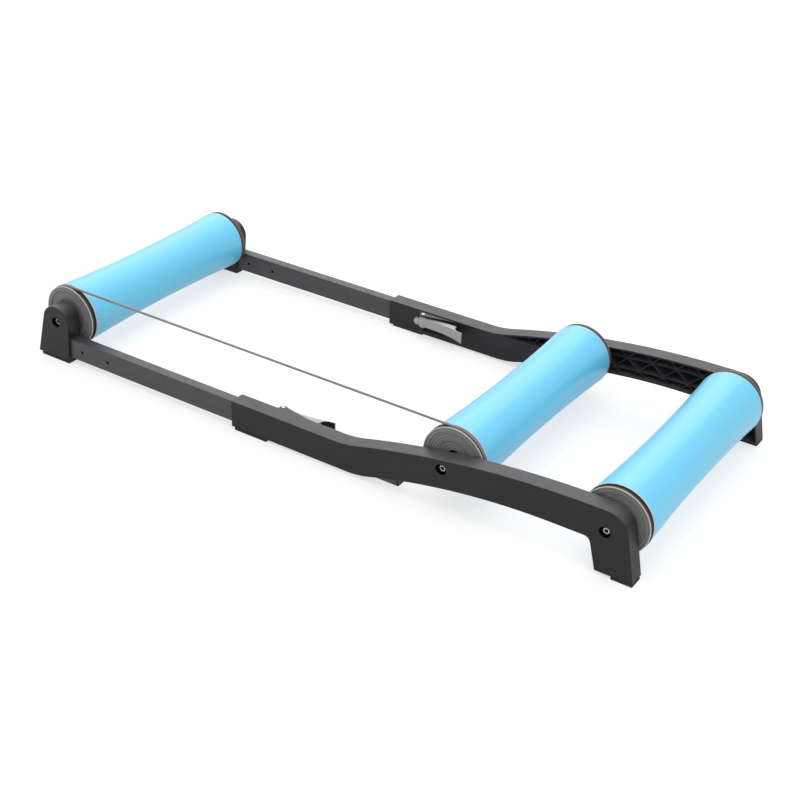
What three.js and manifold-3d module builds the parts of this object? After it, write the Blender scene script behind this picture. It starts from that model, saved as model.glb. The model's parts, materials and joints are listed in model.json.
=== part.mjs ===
// Bike training rollers: three waisted drums in a frame whose front half slides in and out.
// The front wheel stands on the front drum and the rear wheel between the middle and rear drums.
// A round belt on the left side turns the front drum with the middle one.
//
// Millimetres, +Z up. X runs along the bike, with the front drum towards -X, and the left side is -Y.
// The origin is on the floor, under the middle of the machine as it is set up here.

import * as THREE from "three";
import { mergeVertices } from "three/addons/utils/BufferGeometryUtils.js";
import Module from "manifold-3d";

const wasm = await Module();
wasm.setup();

// Drums, which are narrower in the middle than at the ends
const frontToMiddle = 798;
const middleToRear = 272;
const drumEndRadius = 55;
const drumWaistDepth = 5;
const drumHalfLength = 197.5;
const drumWall = 3.5;
const drumFloorGap = 19;

// Clearances
const fitGap = 0.3;
const slideGap = 0.4;
const boreGap = 0.2;
const cutOverrun = 4;

// Side arms, one deep moulding on each side
const capToArm = 6.2;
const armPanel = 4.5;
const armInnerWall = 4.1;
const armFlange = 3;
const sleeveReach = 404;
const sleeveFloor = 5.8;
const sleeveRoof = 4.2;
const cornerRadius = 37;
const crestRadius = 1590;
const crestLead = 20;
const archBand = 54.5;
const bellyRadius = 1150;
const bellyLead = 80;
const bendBlend = 22;
const legRearReach = 51;
const legFrontLead = 10;
const legTopLead = 23;
const legFillet = 9;
const tunnelLead = 25;
const tunnelRoof = 4;

// Lattice of ribs inside the arch of each arm
const ribThickness = 1.8;
const ribRecess = 6;
const ribPitch = 45;
const ribRun = 54;
const ribStartLead = 165;
const ribCrossShare = 0.33;
const ribHighShare = 0.67;
const ribLowShare = 0.25;

// Telescoping rails, rectangular steel tube
const railWidth = 20;
const railHeight = 38;
const railWall = 1.5;
const railCorner = 2;
const railBehindMiddle = 81;
const railInBracket = 10;
const railHoleRadius = 3.1;
const railHoleFirst = 54;
const railHolePitch = 60;
const plugFlange = 3;
const plugStem = 14;

// Front brackets, which carry the front drum
const bracketTopRadius = 30;
const bracketFrontReach = 50;
const bracketRearReach = 24;
const socketWall = 3.5;

// Rubber pads under the frame
const padThickness = 4.2;
const padRecess = 3;
const sleevePadInset = 6;
const sleevePadLength = 66;
const footPadLength = 35;
const bracketPadInset = 8;

// Screws into the ends of the axles
const recessRadius = 9.2;
const recessDepth = 14;
const bossRadius = 13;
const noseRadius = 8;
const screwHeadRadius = 6.5;
const screwHeadHeight = 8;
const screwRadius = 4;
const screwBite = 20;
const hexRadius = 3.5;
const hexDepth = 4;

// Axles and their ball bearings
const axleToArm = 15;
const axleSeatRadius = 6;
const axleBodyRadius = 8;
const bearingWidth = 8;
const bearingRadius = 14;
const innerRaceRadius = 9;

// End caps of the drums
const capSpigotDepth = 15;
const capWall = 3;
const capFlange = 1.5;
const grooveDepth = 4;
const grooveSideGap = 0.7;
const grooveTaper = 1.1;
const capRimDrop = 0.8;
const capRimWidth = 4.1;
const capRimBand = 8.2;
const capStep = 1.7;
const capInnerStepRadius = 30;
const capHubWall = 3;

// Drive belt, whose lower run passes between the left lever and its lower ear
const beltRadius = 2;
const beltToLever = 2.8;
const beltToEar = 1.7;
const beltToPin = 0.8;

// Clamp levers, channels whose cams press a shoe on each rail
const leverBehindMouth = 80;
const leverHeight = 21;
const leverLength = 92;
const leverPlate = 2.6;
const leverWall = 2;
const leverFace = 7.3;
const leverBack = 1.2;
const leverStraight = 26;
const leverFlare = 10;
const leverNotch = 21;
const leverNose = 16;
const leverNoseBulge = 6.5;
const leverNeckDepth = 3.2;
const leverNeckWidth = 5;
const leverNeckRise = 3.4;
const leverNeckDrop = 1.8;
const leverTipSweep = 12;
const leverHubRadius = 6;
const camRadius = 6.6;
const camOffset = 1.5;
const clampPinRadius = 2.2;
const clampPinHead = 3;
const clampPinHeadHeight = 1;
const earThickness = 3;
const earHeadroom = 0.8;
const earRadius = 6.5;
const earFrontReach = 19;
const earRearReach = 68;
const shoeLength = 18;
const shoeHeight = 17;

// Screw that keeps each rail in its bracket
const tackRadius = 2;
const tackHeadRadius = 4;
const tackHeadHeight = 2.3;
const tackLength = 7;
const tackAhead = 8;

// How finely curves are cut
const roundSegments = 24;
const smallSegments = 12;
const curveDivisions = 5;
const drumSteps = 7;
const beltSteps = 18;
const beltSides = 6;

// Places that follow from the sizes above
const axleHeight = drumEndRadius + drumFloorGap;
const overallLength = drumEndRadius + frontToMiddle + middleToRear + drumEndRadius;
const frontAxleX = drumEndRadius - overallLength / 2;
const middleAxleX = frontAxleX + frontToMiddle;
const rearAxleX = middleAxleX + middleToRear;
const drumWaistRadius = drumEndRadius - drumWaistDepth;
const grooveFloorRadius = drumEndRadius - grooveDepth;
const grooveMouthWidth = (beltRadius + grooveSideGap) * 2;
const grooveFloorWidth = grooveMouthWidth - grooveTaper * 2;
const grooveCentre = drumHalfLength + fitGap + capFlange + grooveMouthWidth / 2;
const capRimRadius = drumEndRadius - capRimDrop;
const capOuterStepRadius = capRimRadius - capRimBand;
const capFaceY = grooveCentre + grooveMouthWidth / 2 + capRimWidth;
const armInnerY = capFaceY + capToArm;
const armDepth = armInnerWall + railWidth + slideGap + armPanel;
const frameHalfWidth = armInnerY + armDepth;
const armCavityY = frameHalfWidth - armPanel;
const axleHalfLength = armInnerY - axleToArm;
const armBase = padThickness + fitGap;
const railBase = armBase + sleeveFloor;
const railTop = railBase + railHeight;
const armTop = railTop + sleeveRoof;
const ribCount = Math.ceil((middleToRear + ribStartLead) / ribPitch);
const railOuterY = armCavityY - slideGap;
const railInnerY = railOuterY - railWidth;
const railFrontX = frontAxleX - railInBracket;
const railRearX = middleAxleX - railBehindMiddle;
const beltRunZ = axleHeight - grooveFloorRadius - fitGap - beltRadius;
const leverBeforeMiddle = sleeveReach - leverBehindMouth;
const leverX = middleAxleX - leverBeforeMiddle;
const leverY = grooveCentre + beltRadius + beltToPin + clampPinRadius;
const leverBase = beltRunZ + beltRadius + beltToLever;
const lowerEarTop = beltRunZ - beltRadius - beltToEar;
const leverTop = leverBase + leverHeight;
const upperEarBase = leverTop + earHeadroom;
const screwSeatY = frameHalfWidth - recessDepth;

const finishes = {
  arm: new THREE.MeshStandardMaterial({ color: 0x39393c, roughness: 0.62, metalness: 0 }),
  rail: new THREE.MeshStandardMaterial({ color: 0x4b4c4e, roughness: 0.5, metalness: 0.2 }),
  drum: new THREE.MeshStandardMaterial({ color: 0x62c4f0, roughness: 0.34, metalness: 0 }),
  cap: new THREE.MeshStandardMaterial({ color: 0x66655f, roughness: 0.55, metalness: 0 }),
  steel: new THREE.MeshStandardMaterial({ color: 0xb9babc, roughness: 0.3, metalness: 1 }),
  lever: new THREE.MeshStandardMaterial({ color: 0x9b9b9a, roughness: 0.42, metalness: 0.7 }),
  belt: new THREE.MeshStandardMaterial({ color: 0x75736c, roughness: 0.6, metalness: 0 }),
  rubber: new THREE.MeshStandardMaterial({ color: 0x1d1d1f, roughness: 0.85, metalness: 0 }),
};

// A closed geometry as a solid that can be joined and cut.
function solid(geometry) {
  const bare = geometry.index ? geometry.toNonIndexed() : geometry.clone();
  bare.deleteAttribute("normal");
  bare.deleteAttribute("uv");
  const merged = mergeVertices(bare);
  return new wasm.Manifold(
    new wasm.Mesh({
      numProp: 3,
      vertProperties: merged.attributes.position.array,
      triVerts: new Uint32Array(merged.index.array),
    }),
  );
}

// A joined or cut solid as a geometry, with flat faces.
function geometryOf(body) {
  const made = body.getMesh();
  const positions = new Float32Array(made.numVert * 3);
  for (let i = 0; i < made.numVert; i++) {
    positions.set(made.vertProperties.subarray(i * made.numProp, i * made.numProp + 3), i * 3);
  }
  const geometry = new THREE.BufferGeometry();
  geometry.setAttribute("position", new THREE.BufferAttribute(positions, 3));
  geometry.setIndex(new THREE.BufferAttribute(new Uint32Array(made.triVerts), 1));
  const flat = geometry.toNonIndexed();
  flat.computeVertexNormals();
  return flat;
}

// A box between two corners.
function block(x0, x1, y0, y1, z0, z1) {
  const geometry = new THREE.BoxGeometry(x1 - x0, y1 - y0, z1 - z0);
  return solid(geometry.translate((x0 + x1) / 2, (y0 + y1) / 2, (z0 + z1) / 2));
}

// An outline in the X-Z plane, given thickness from one Y to another.
function plate(points, nearY, farY) {
  const depth = farY - nearY;
  const geometry = new THREE.ExtrudeGeometry(new THREE.Shape(points), { depth, bevelEnabled: false });
  return solid(geometry.rotateX(Math.PI / 2).translate(0, farY, 0));
}

// An outline in the X-Y plane, given thickness from one Z to another.
function slab(points, lowZ, highZ) {
  const depth = highZ - lowZ;
  const geometry = new THREE.ExtrudeGeometry(new THREE.Shape(points), { depth, bevelEnabled: false });
  return solid(geometry.translate(0, 0, lowZ));
}

// A round bar along Y at (x, z).
function crossBar(radius, x, z, nearY, farY, segments = smallSegments) {
  const geometry = new THREE.CylinderGeometry(radius, radius, farY - nearY, segments);
  return solid(geometry.translate(x, (nearY + farY) / 2, z));
}

// A round bar along Z at (x, y).
function upright(radius, x, y, lowZ, highZ) {
  const geometry = new THREE.CylinderGeometry(radius, radius, highZ - lowZ, smallSegments);
  return solid(geometry.rotateX(Math.PI / 2).translate(x, y, (lowZ + highZ) / 2));
}

// A profile of [radius, place along Y] pairs turned about Y. A loop that doesn't meet the axis is closed.
function turned(profile, segments = roundSegments) {
  const points = profile.map(([radius, along]) => new THREE.Vector2(radius, along));
  if (profile[0][0] > 0) points.push(points[0].clone());
  return new THREE.LatheGeometry(points, segments);
}

// A rectangle with rounded corners, about its own middle.
function roundedBox(width, height, radius) {
  const shape = new THREE.Shape();
  const right = width / 2 - radius;
  const top = height / 2 - radius;
  shape.absarc(right, top, radius, 0, Math.PI / 2);
  shape.absarc(-right, top, radius, Math.PI / 2, Math.PI);
  shape.absarc(-right, -top, radius, Math.PI, Math.PI * 1.5);
  shape.absarc(right, -top, radius, Math.PI * 1.5, Math.PI * 2);
  return shape.getPoints(1);
}

// An outline moved inwards by a wall's thickness, corner by corner.
function insetOutline(points, wall) {
  const sign = THREE.ShapeUtils.isClockWise(points) ? -1 : 1;
  return points.map((point, i) => {
    const before = points[(i + points.length - 1) % points.length];
    const after = points[(i + 1) % points.length];
    const into = point.clone().sub(before).normalize();
    const out = after.clone().sub(point).normalize();
    const bisector = new THREE.Vector2(-into.y - out.y, into.x + out.x).normalize();
    const miter = (sign * wall) / (bisector.x * -into.y + bisector.y * into.x);
    return point.clone().addScaledVector(bisector, miter);
  });
}

// The angle at which a line from (x, z) touches a circle at the origin, on its left or right side.
function touchAngle(x, z, radius, side) {
  return Math.atan2(z, x) + side * Math.acos(radius / Math.hypot(x, z));
}

// The outline's points, without any that repeats the next one.
function closedPoints(shape) {
  const points = shape.getPoints(curveDivisions);
  return points.filter((point, i) => point.distanceTo(points[(i + 1) % points.length]) > fitGap);
}

function named(name, geometry, finish) {
  const mesh = new THREE.Mesh(geometry, finishes[finish]);
  mesh.name = name;
  return mesh;
}

// The seat of an axle screw: a boss with a nose that meets the bearing, recessed from outside.
function withAxleSeat(body, x) {
  const boss = crossBar(bossRadius, x, axleHeight, armInnerY, armCavityY + armPanel / 2);
  const nose = crossBar(noseRadius, x, axleHeight, axleHalfLength + fitGap, armCavityY);
  const recess = crossBar(recessRadius, x, axleHeight, screwSeatY, frameHalfWidth + cutOverrun);
  const hole = crossBar(screwRadius + fitGap, x, axleHeight, axleHalfLength - cutOverrun, frameHalfWidth);
  return body.add(boss).add(nose).subtract(recess).subtract(hole);
}

// Side arm, about the floor under the middle axle
function armOutline() {
  const crestZ = axleHeight + cornerRadius;
  const crestX = middleToRear - crestLead;
  const crestCentre = crestZ - crestRadius;
  const bellyZ = crestZ - archBand;
  const bellyX = middleToRear - bellyLead;
  const bellyCentre = bellyZ - bellyRadius;
  const bendTopX = crestX - Math.sqrt(crestRadius ** 2 - (armTop - crestCentre) ** 2);
  const bendBottomX = bellyX - Math.sqrt(bellyRadius ** 2 - (armBase - bellyCentre) ** 2);
  const crestStart = Math.PI - Math.acos((crestX - bendTopX - bendBlend) / crestRadius);
  const bellyEnd = Math.PI - Math.acos((bellyX - bendBottomX - bendBlend) / bellyRadius);
  const touch = touchAngle(legRearReach, armBase - axleHeight, cornerRadius, 1);
  const legTopX = middleToRear - legTopLead;
  const legSlope = (legTopLead - legFrontLead) / (bellyZ - armBase);

  const shape = new THREE.Shape();
  shape.moveTo(-sleeveReach, armBase);
  shape.lineTo(-sleeveReach, armTop);
  shape.lineTo(bendTopX - bendBlend, armTop);
  shape.quadraticCurveTo(
    bendTopX,
    armTop,
    crestX + crestRadius * Math.cos(crestStart),
    crestCentre + crestRadius * Math.sin(crestStart),
  );
  shape.absarc(crestX, crestCentre, crestRadius, crestStart, Math.PI / 2, true);
  shape.lineTo(middleToRear, crestZ);
  shape.absarc(middleToRear, axleHeight, cornerRadius, Math.PI / 2, touch, true);
  shape.lineTo(middleToRear + legRearReach, armBase);
  shape.lineTo(middleToRear - legFrontLead, armBase);
  shape.lineTo(legTopX + legSlope * legFillet, bellyZ - legFillet);
  shape.quadraticCurveTo(legTopX, bellyZ, legTopX - legFillet, bellyZ);
  shape.lineTo(bellyX, bellyZ);
  shape.absarc(bellyX, bellyCentre, bellyRadius, Math.PI / 2, bellyEnd, false);
  shape.quadraticCurveTo(bendBottomX, armBase, bendBottomX - bendBlend, armBase);
  return closedPoints(shape);
}

// Height of the crest of the arch, and of its belly, at a place along the arm.
function archEdges(x) {
  const crestZ = axleHeight + cornerRadius;
  const crestDrop = crestRadius - Math.sqrt(crestRadius ** 2 - (middleToRear - crestLead - x) ** 2);
  const bellyDrop = bellyRadius - Math.sqrt(bellyRadius ** 2 - (middleToRear - bellyLead - x) ** 2);
  return { top: crestZ - crestDrop, bottom: crestZ - archBand - bellyDrop };
}

// A thin rib between two points of the arm's side view.
function rib(from, to) {
  const across = new THREE.Vector2(from.y - to.y, to.x - from.x).setLength(ribThickness / 2);
  const corners = [
    from.clone().add(across),
    from.clone().sub(across),
    to.clone().sub(across),
    to.clone().add(across),
  ];
  return plate(corners, armInnerY + ribRecess, armCavityY + armPanel / 2);
}

// Two ribs that follow the arch, and two families of slanting ones that cross on them.
function latticeRibs() {
  const ribs = [];
  const at = (x, share) => {
    const { top, bottom } = archEdges(x);
    return new THREE.Vector2(x, bottom + (top - bottom) * share);
  };
  for (let k = 0; k < ribCount; k++) {
    const x = k * ribPitch - ribStartLead;
    for (const share of [ribLowShare, ribHighShare]) ribs.push(rib(at(x, share), at(x + ribPitch, share)));
    ribs.push(rib(at(x, 1), at(x + ribRun, 0)));
    const mirrored = x + ribCrossShare * 2 * ribRun;
    ribs.push(rib(at(mirrored, 1), at(mirrored - ribRun, 0)));
  }
  return wasm.Manifold.union(ribs);
}

// Ears that hold the clamp lever's pin, and a window in the wall for its shoe.
function withClampSeat(body) {
  const x = -leverBeforeMiddle;
  const ear = new THREE.Shape();
  ear.moveTo(x - earFrontReach, armInnerY);
  ear.quadraticCurveTo(x - earRadius, armInnerY, x - earRadius, leverY);
  ear.absarc(x, leverY, earRadius, Math.PI, Math.PI * 1.75, false);
  ear.lineTo(x + earRearReach, armInnerY);
  ear.lineTo(x + earRearReach, armInnerY + cutOverrun / 2);
  ear.lineTo(x - earFrontReach, armInnerY + cutOverrun / 2);
  const points = closedPoints(ear);
  const upperEar = slab(points, upperEarBase, upperEarBase + earThickness);
  const lowerEar = slab(points, lowerEarTop - earThickness, lowerEarTop);
  const pinHole = upright(clampPinRadius + fitGap, x, leverY, 0, armTop + cutOverrun);
  const middleZ = leverBase + leverHeight / 2;
  const window = block(
    x - shoeLength / 2 - fitGap,
    x + shoeLength / 2 + fitGap,
    armInnerY - fitGap,
    railInnerY + fitGap,
    middleZ - shoeHeight / 2 - fitGap,
    middleZ + shoeHeight / 2 + fitGap,
  );
  return body.add(upperEar.add(lowerEar).subtract(pinHole)).subtract(window);
}

function sideArm() {
  const outline = armOutline();
  const whole = plate(outline, armInnerY, frameHalfWidth);
  const cavity = plate(insetOutline(outline, armFlange), armInnerY - cutOverrun, armCavityY);
  const ribLimit = insetOutline(outline, armFlange / 2);
  const ribSpace = plate(ribLimit, armInnerY + ribRecess, armCavityY + armPanel / 2);
  const channelTop = railTop + slideGap;
  const tunnelSpace = block(
    -sleeveReach,
    -tunnelLead,
    armInnerY,
    frameHalfWidth - armPanel / 2,
    armBase,
    channelTop + tunnelRoof,
  );
  const channel = block(
    -sleeveReach - cutOverrun,
    middleToRear,
    railInnerY - slideGap,
    armCavityY,
    railBase - slideGap,
    channelTop,
  );
  let arm = whole.subtract(cavity);
  arm = arm.add(whole.intersect(tunnelSpace));
  arm = arm.add(latticeRibs().intersect(ribSpace));
  arm = withAxleSeat(arm, 0);
  arm = withAxleSeat(arm, middleToRear);
  return geometryOf(withClampSeat(arm).subtract(channel));
}

// Front bracket, about the floor under the front axle
function frontBracket() {
  const frontTouch = touchAngle(-bracketFrontReach, armBase - axleHeight, bracketTopRadius, -1) + Math.PI * 2;
  const rearTouch = touchAngle(bracketRearReach, armBase - axleHeight, bracketTopRadius, 1);
  const shape = new THREE.Shape();
  shape.moveTo(-bracketFrontReach, armBase);
  shape.lineTo(bracketRearReach, armBase);
  shape.absarc(0, axleHeight, bracketTopRadius, rearTouch, frontTouch, false);
  const outline = closedPoints(shape);
  const whole = plate(outline, armInnerY, frameHalfWidth);
  const cavity = plate(insetOutline(outline, armFlange), armInnerY - cutOverrun, armCavityY);
  const socketSpace = block(
    -railInBracket - socketWall,
    bracketTopRadius,
    armInnerY,
    frameHalfWidth - armPanel / 2,
    armBase,
    railTop + socketWall,
  );
  const railSpace = block(
    -railInBracket - fitGap,
    bracketTopRadius + cutOverrun,
    railInnerY - fitGap,
    railOuterY + fitGap,
    railBase - fitGap,
    railTop + fitGap,
  );
  const tackHole = crossBar(
    tackRadius + fitGap,
    tackAhead,
    railBase + railHeight / 2,
    armInnerY - cutOverrun,
    railInnerY,
  );
  const shell = whole.subtract(cavity).add(whole.intersect(socketSpace));
  return geometryOf(withAxleSeat(shell, 0).subtract(railSpace).subtract(tackHole));
}

// Rail, along X, with its section centred on the rail's own line
function rail() {
  const length = railRearX - railFrontX;
  const tube = new THREE.Shape(roundedBox(railWidth, railHeight, railCorner));
  const hollowWidth = railWidth - railWall * 2;
  const hollowHeight = railHeight - railWall * 2;
  tube.holes.push(new THREE.Path(roundedBox(hollowWidth, hollowHeight, railCorner / 2)));
  const bar = new THREE.ExtrudeGeometry(tube, { depth: length, bevelEnabled: false });
  let body = solid(bar.rotateZ(Math.PI / 2).rotateY(Math.PI / 2));
  for (const place of [railHoleFirst, railHoleFirst + railHolePitch]) {
    body = body.subtract(crossBar(railHoleRadius, railInBracket + place, 0, -railWidth, railWidth));
  }
  const tackHole = crossBar(tackRadius + fitGap, railInBracket + tackAhead, 0, -railWidth, 0);
  return geometryOf(body.subtract(tackHole));
}

// Plastic plug in the rear end of a rail, with its flange against the tube
function railPlug() {
  const flange = new THREE.Shape(roundedBox(railWidth, railHeight, railCorner));
  const stemWidth = railWidth - (railWall + fitGap) * 2;
  const stemHeight = railHeight - (railWall + fitGap) * 2;
  const stem = new THREE.Shape(roundedBox(stemWidth, stemHeight, railCorner / 2));
  const flangePlate = new THREE.ExtrudeGeometry(flange, { depth: plugFlange, bevelEnabled: false });
  const stemBar = new THREE.ExtrudeGeometry(stem, { depth: plugStem + plugFlange / 2, bevelEnabled: false });
  const turn = (geometry) => solid(geometry.rotateZ(Math.PI / 2).rotateY(Math.PI / 2));
  return geometryOf(turn(flangePlate).add(turn(stemBar.translate(0, 0, -plugStem))));
}

// Small screw through the bracket's inner wall into the rail, pointing along +Y
function tackScrew() {
  return turned(
    [
      [0, -tackHeadHeight],
      [tackHeadRadius - tackHeadHeight / 2, -tackHeadHeight],
      [tackHeadRadius, 0],
      [tackRadius, 0],
      [tackRadius, tackLength],
      [0, tackLength],
    ],
    smallSegments,
  );
}

// Axle, along Y, thicker between its bearings and tapped at both ends
function axle() {
  const shoulder = axleHalfLength - bearingWidth - fitGap;
  const tapEnd = axleHalfLength - screwBite - cutOverrun;
  const tapRadius = screwRadius + fitGap;
  return turned(
    [
      [0, -tapEnd],
      [tapRadius, -tapEnd],
      [tapRadius, -axleHalfLength],
      [axleSeatRadius, -axleHalfLength],
      [axleSeatRadius, -shoulder],
      [axleBodyRadius, -shoulder],
      [axleBodyRadius, shoulder],
      [axleSeatRadius, shoulder],
      [axleSeatRadius, axleHalfLength],
      [tapRadius, axleHalfLength],
      [tapRadius, tapEnd],
      [0, tapEnd],
    ],
    smallSegments,
  );
}

// Socket-head screw with its head's underside at Y zero, pointing along -Y
function axleScrew() {
  const reach = screwSeatY - fitGap - (axleHalfLength - screwBite);
  const body = solid(
    turned(
      [
        [0, -reach],
        [screwRadius, -reach],
        [screwRadius, 0],
        [screwHeadRadius, 0],
        [screwHeadRadius, screwHeadHeight],
        [0, screwHeadHeight],
      ],
      smallSegments,
    ),
  );
  const socket = crossBar(hexRadius, 0, 0, screwHeadHeight - hexDepth, screwHeadHeight + cutOverrun, 6);
  return geometryOf(body.subtract(socket));
}

// Inner race of a ball bearing, along +Y from its inner face
function innerRace() {
  const bore = axleSeatRadius + boreGap;
  const profile = [
    [bore, 0],
    [innerRaceRadius, 0],
    [innerRaceRadius, bearingWidth],
    [bore, bearingWidth],
  ];
  return turned(profile, smallSegments);
}

// Outer race of a ball bearing with its seals, along +Y from its inner face
function outerRace() {
  const bore = innerRaceRadius + boreGap * 2;
  const profile = [
    [bore, 0],
    [bearingRadius, 0],
    [bearingRadius, bearingWidth],
    [bore, bearingWidth],
  ];
  return turned(profile, smallSegments);
}

// Radius of the drum's running surface at a place along it
function drumRadius(along) {
  return drumWaistRadius + (drumEndRadius - drumWaistRadius) * (along / drumHalfLength) ** 2;
}

function drum() {
  const places = [...Array(drumSteps).keys()].map((i) => (i / (drumSteps - 1)) * 2 - 1);
  const outside = places.map((share) => [drumRadius(share * drumHalfLength), share * drumHalfLength]);
  const inside = outside.map(([radius, along]) => [radius - drumWall, along]).reverse();
  return turned([...outside, ...inside]);
}

// End cap, along Y at its place on the drum: spigot, belt groove, stepped face and bearing seat
function endCap() {
  const seat = drumHalfLength + fitGap;
  const spigotEnd = drumHalfLength - capSpigotDepth;
  const spigotRadius = drumRadius(spigotEnd) - drumWall - fitGap;
  const bearingSeat = bearingRadius + boreGap;
  const hubRadius = bearingSeat + capHubWall;
  const hubEnd = axleHalfLength - bearingWidth;
  const hubFace = capFaceY - capStep * 2;
  return turned([
    [spigotRadius, spigotEnd],
    [spigotRadius, seat],
    [drumEndRadius, seat],
    [drumEndRadius, seat + capFlange],
    [grooveFloorRadius, grooveCentre - grooveFloorWidth / 2],
    [grooveFloorRadius, grooveCentre + grooveFloorWidth / 2],
    [capRimRadius, capFaceY - capRimWidth],
    [capRimRadius, capFaceY],
    [capOuterStepRadius, capFaceY],
    [capOuterStepRadius - capStep / 2, capFaceY - capStep],
    [capInnerStepRadius, capFaceY - capStep],
    [capInnerStepRadius - capStep / 2, hubFace],
    [bearingSeat, hubFace],
    [bearingSeat, hubEnd],
    [hubRadius, hubEnd],
    [hubRadius, hubFace - capWall],
    [spigotRadius - capWall, capFaceY - capStep - capWall],
    [spigotRadius - capWall, spigotEnd],
  ]);
}

// Round belt over two equal grooves, a closed loop in a plane of constant Y
function driveBelt() {
  const stepAngle = Math.PI / beltSteps;
  const sag = grooveFloorRadius * (1 - Math.cos(stepAngle / 2));
  const loopRadius = grooveFloorRadius + fitGap + beltRadius + sag;
  const rings = [];
  for (const [centre, start] of [
    [frontAxleX, Math.PI / 2],
    [middleAxleX, -Math.PI / 2],
  ]) {
    for (let i = 0; i <= beltSteps; i++) {
      const angle = start + i * stepAngle;
      rings.push({ x: centre + loopRadius * Math.cos(angle), z: loopRadius * Math.sin(angle), angle });
    }
  }
  const positions = [];
  for (const { x, z, angle } of rings) {
    for (let j = 0; j < beltSides; j++) {
      const around = (j / beltSides) * Math.PI * 2;
      const lift = beltRadius * Math.cos(around);
      const side = beltRadius * Math.sin(around);
      positions.push(x + lift * Math.cos(angle), side, z + lift * Math.sin(angle));
    }
  }
  const faces = [];
  rings.forEach((_, i) => {
    const next = (i + 1) % rings.length;
    for (let j = 0; j < beltSides; j++) {
      const k = (j + 1) % beltSides;
      const [a, b, c, d] = [
        i * beltSides + j,
        i * beltSides + k,
        next * beltSides + k,
        next * beltSides + j,
      ];
      faces.push(a, b, c, a, c, d);
    }
  });
  const geometry = new THREE.BufferGeometry();
  geometry.setAttribute("position", new THREE.Float32BufferAttribute(positions, 3));
  geometry.setIndex(faces);
  const loop = geometry.toNonIndexed();
  loop.computeVertexNormals();
  return loop;
}

// Upper edge, tip and lower edge of the lever's side view behind its neck, drawn in by a wall
function addLeverEdges(shape, neckX, wall) {
  shape.lineTo(neckX, leverTop - leverNeckDrop - wall);
  shape.lineTo((leverStraight + leverLength) / 2, leverTop - wall);
  shape.lineTo(leverLength + cutOverrun, leverTop - wall);
  shape.lineTo(leverLength + cutOverrun, leverBase + wall);
  shape.lineTo(leverLength, leverBase + wall);
  const lowEdge = leverBase + leverNeckRise + wall;
  shape.quadraticCurveTo(leverLength - leverTipSweep, lowEdge, neckX, lowEdge);
}

// Clamp lever about its pin, with its tip towards +X and its face towards -Y: a channel open at the back
function clampLever() {
  const faceY = -leverFace;
  const plateY = faceY + leverPlate;
  const bend = (leverStraight + leverLength) / 2;
  const plan = new THREE.Shape();
  plan.moveTo(-leverNose, faceY);
  plan.lineTo(leverStraight, faceY);
  plan.quadraticCurveTo(bend, faceY, leverLength, faceY - leverFlare);
  plan.lineTo(leverLength, plateY - leverFlare);
  plan.quadraticCurveTo(leverLength - leverNotch, plateY - leverFlare, leverLength - leverNotch, leverBack);
  plan.lineTo(0, leverBack);
  plan.lineTo(0, plateY);
  plan.lineTo(leverPlate - leverNose, plateY);
  const hollow = new THREE.Shape();
  hollow.moveTo(camRadius + leverPlate, plateY);
  hollow.lineTo(leverStraight, plateY);
  hollow.quadraticCurveTo(bend, plateY, leverLength, plateY - leverFlare);
  hollow.lineTo(leverLength, leverBack + cutOverrun);
  hollow.lineTo(camRadius + leverPlate, leverBack + cutOverrun);
  const neckStart = leverNoseBulge - leverNose;
  const neckX = neckStart + leverNeckWidth;
  const side = new THREE.Shape();
  const neckBase = leverBase + leverNeckRise;
  const neckTop = leverTop - leverNeckDrop;
  side.moveTo(neckStart, neckBase);
  side.quadraticCurveTo(-leverNose - leverNoseBulge, (neckBase + neckTop) / 2, neckStart, neckTop);
  side.lineTo(neckStart + leverNeckWidth / 2, neckTop - leverNeckDepth);
  addLeverEdges(side, neckX, 0);
  side.lineTo(neckStart + leverNeckWidth / 2, neckBase + leverNeckDepth);
  const inside = new THREE.Shape();
  inside.moveTo(neckX, neckBase + leverWall);
  addLeverEdges(inside, neckX, leverWall);
  const reach = [faceY - leverFlare - cutOverrun, leverBack + cutOverrun];
  const blade = slab(closedPoints(plan), leverBase, leverTop);
  const sideView = plate(closedPoints(side), ...reach);
  const pocket = slab(closedPoints(hollow), leverBase, leverTop).intersect(plate(closedPoints(inside), ...reach));
  const hub = upright(leverHubRadius, 0, 0, leverBase, leverTop);
  const camHalfHeight = shoeHeight / 2 - fitGap;
  const camZ = leverBase + leverHeight / 2;
  const cam = upright(camRadius, 0, camOffset, camZ - camHalfHeight, camZ + camHalfHeight);
  const pinHole = upright(clampPinRadius + fitGap, 0, 0, 0, armTop);
  return geometryOf(blade.intersect(sideView).subtract(pocket).add(hub).add(cam).subtract(pinHole));
}

// Pin through the ears and the lever's eye, about the lever's axis, standing along Y before it is turned up
function clampPin() {
  const underEar = lowerEarTop - earThickness;
  const overEar = upperEarBase + earThickness;
  const collarTop = leverBase - fitGap;
  return turned(
    [
      [0, underEar - fitGap - clampPinHeadHeight],
      [clampPinHead, underEar - fitGap - clampPinHeadHeight],
      [clampPinHead, underEar - fitGap],
      [clampPinRadius, underEar - fitGap],
      [clampPinRadius, collarTop - clampPinHeadHeight],
      [clampPinHead, collarTop - clampPinHeadHeight],
      [clampPinHead, collarTop],
      [clampPinRadius, collarTop],
      [clampPinRadius, overEar + fitGap],
      [clampPinHead, overEar + fitGap],
      [clampPinHead - clampPinHeadHeight / 2, overEar + fitGap + clampPinHeadHeight],
      [0, overEar + fitGap + clampPinHeadHeight],
    ],
    smallSegments,
  ).rotateX(Math.PI / 2);
}

// Shoe that the lever's cam presses on the rail, centred on its window
function clampShoe() {
  const back = leverY + camRadius + camOffset + fitGap;
  const front = railInnerY - fitGap;
  return new THREE.BoxGeometry(shoeLength, front - back, shoeHeight);
}

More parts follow.
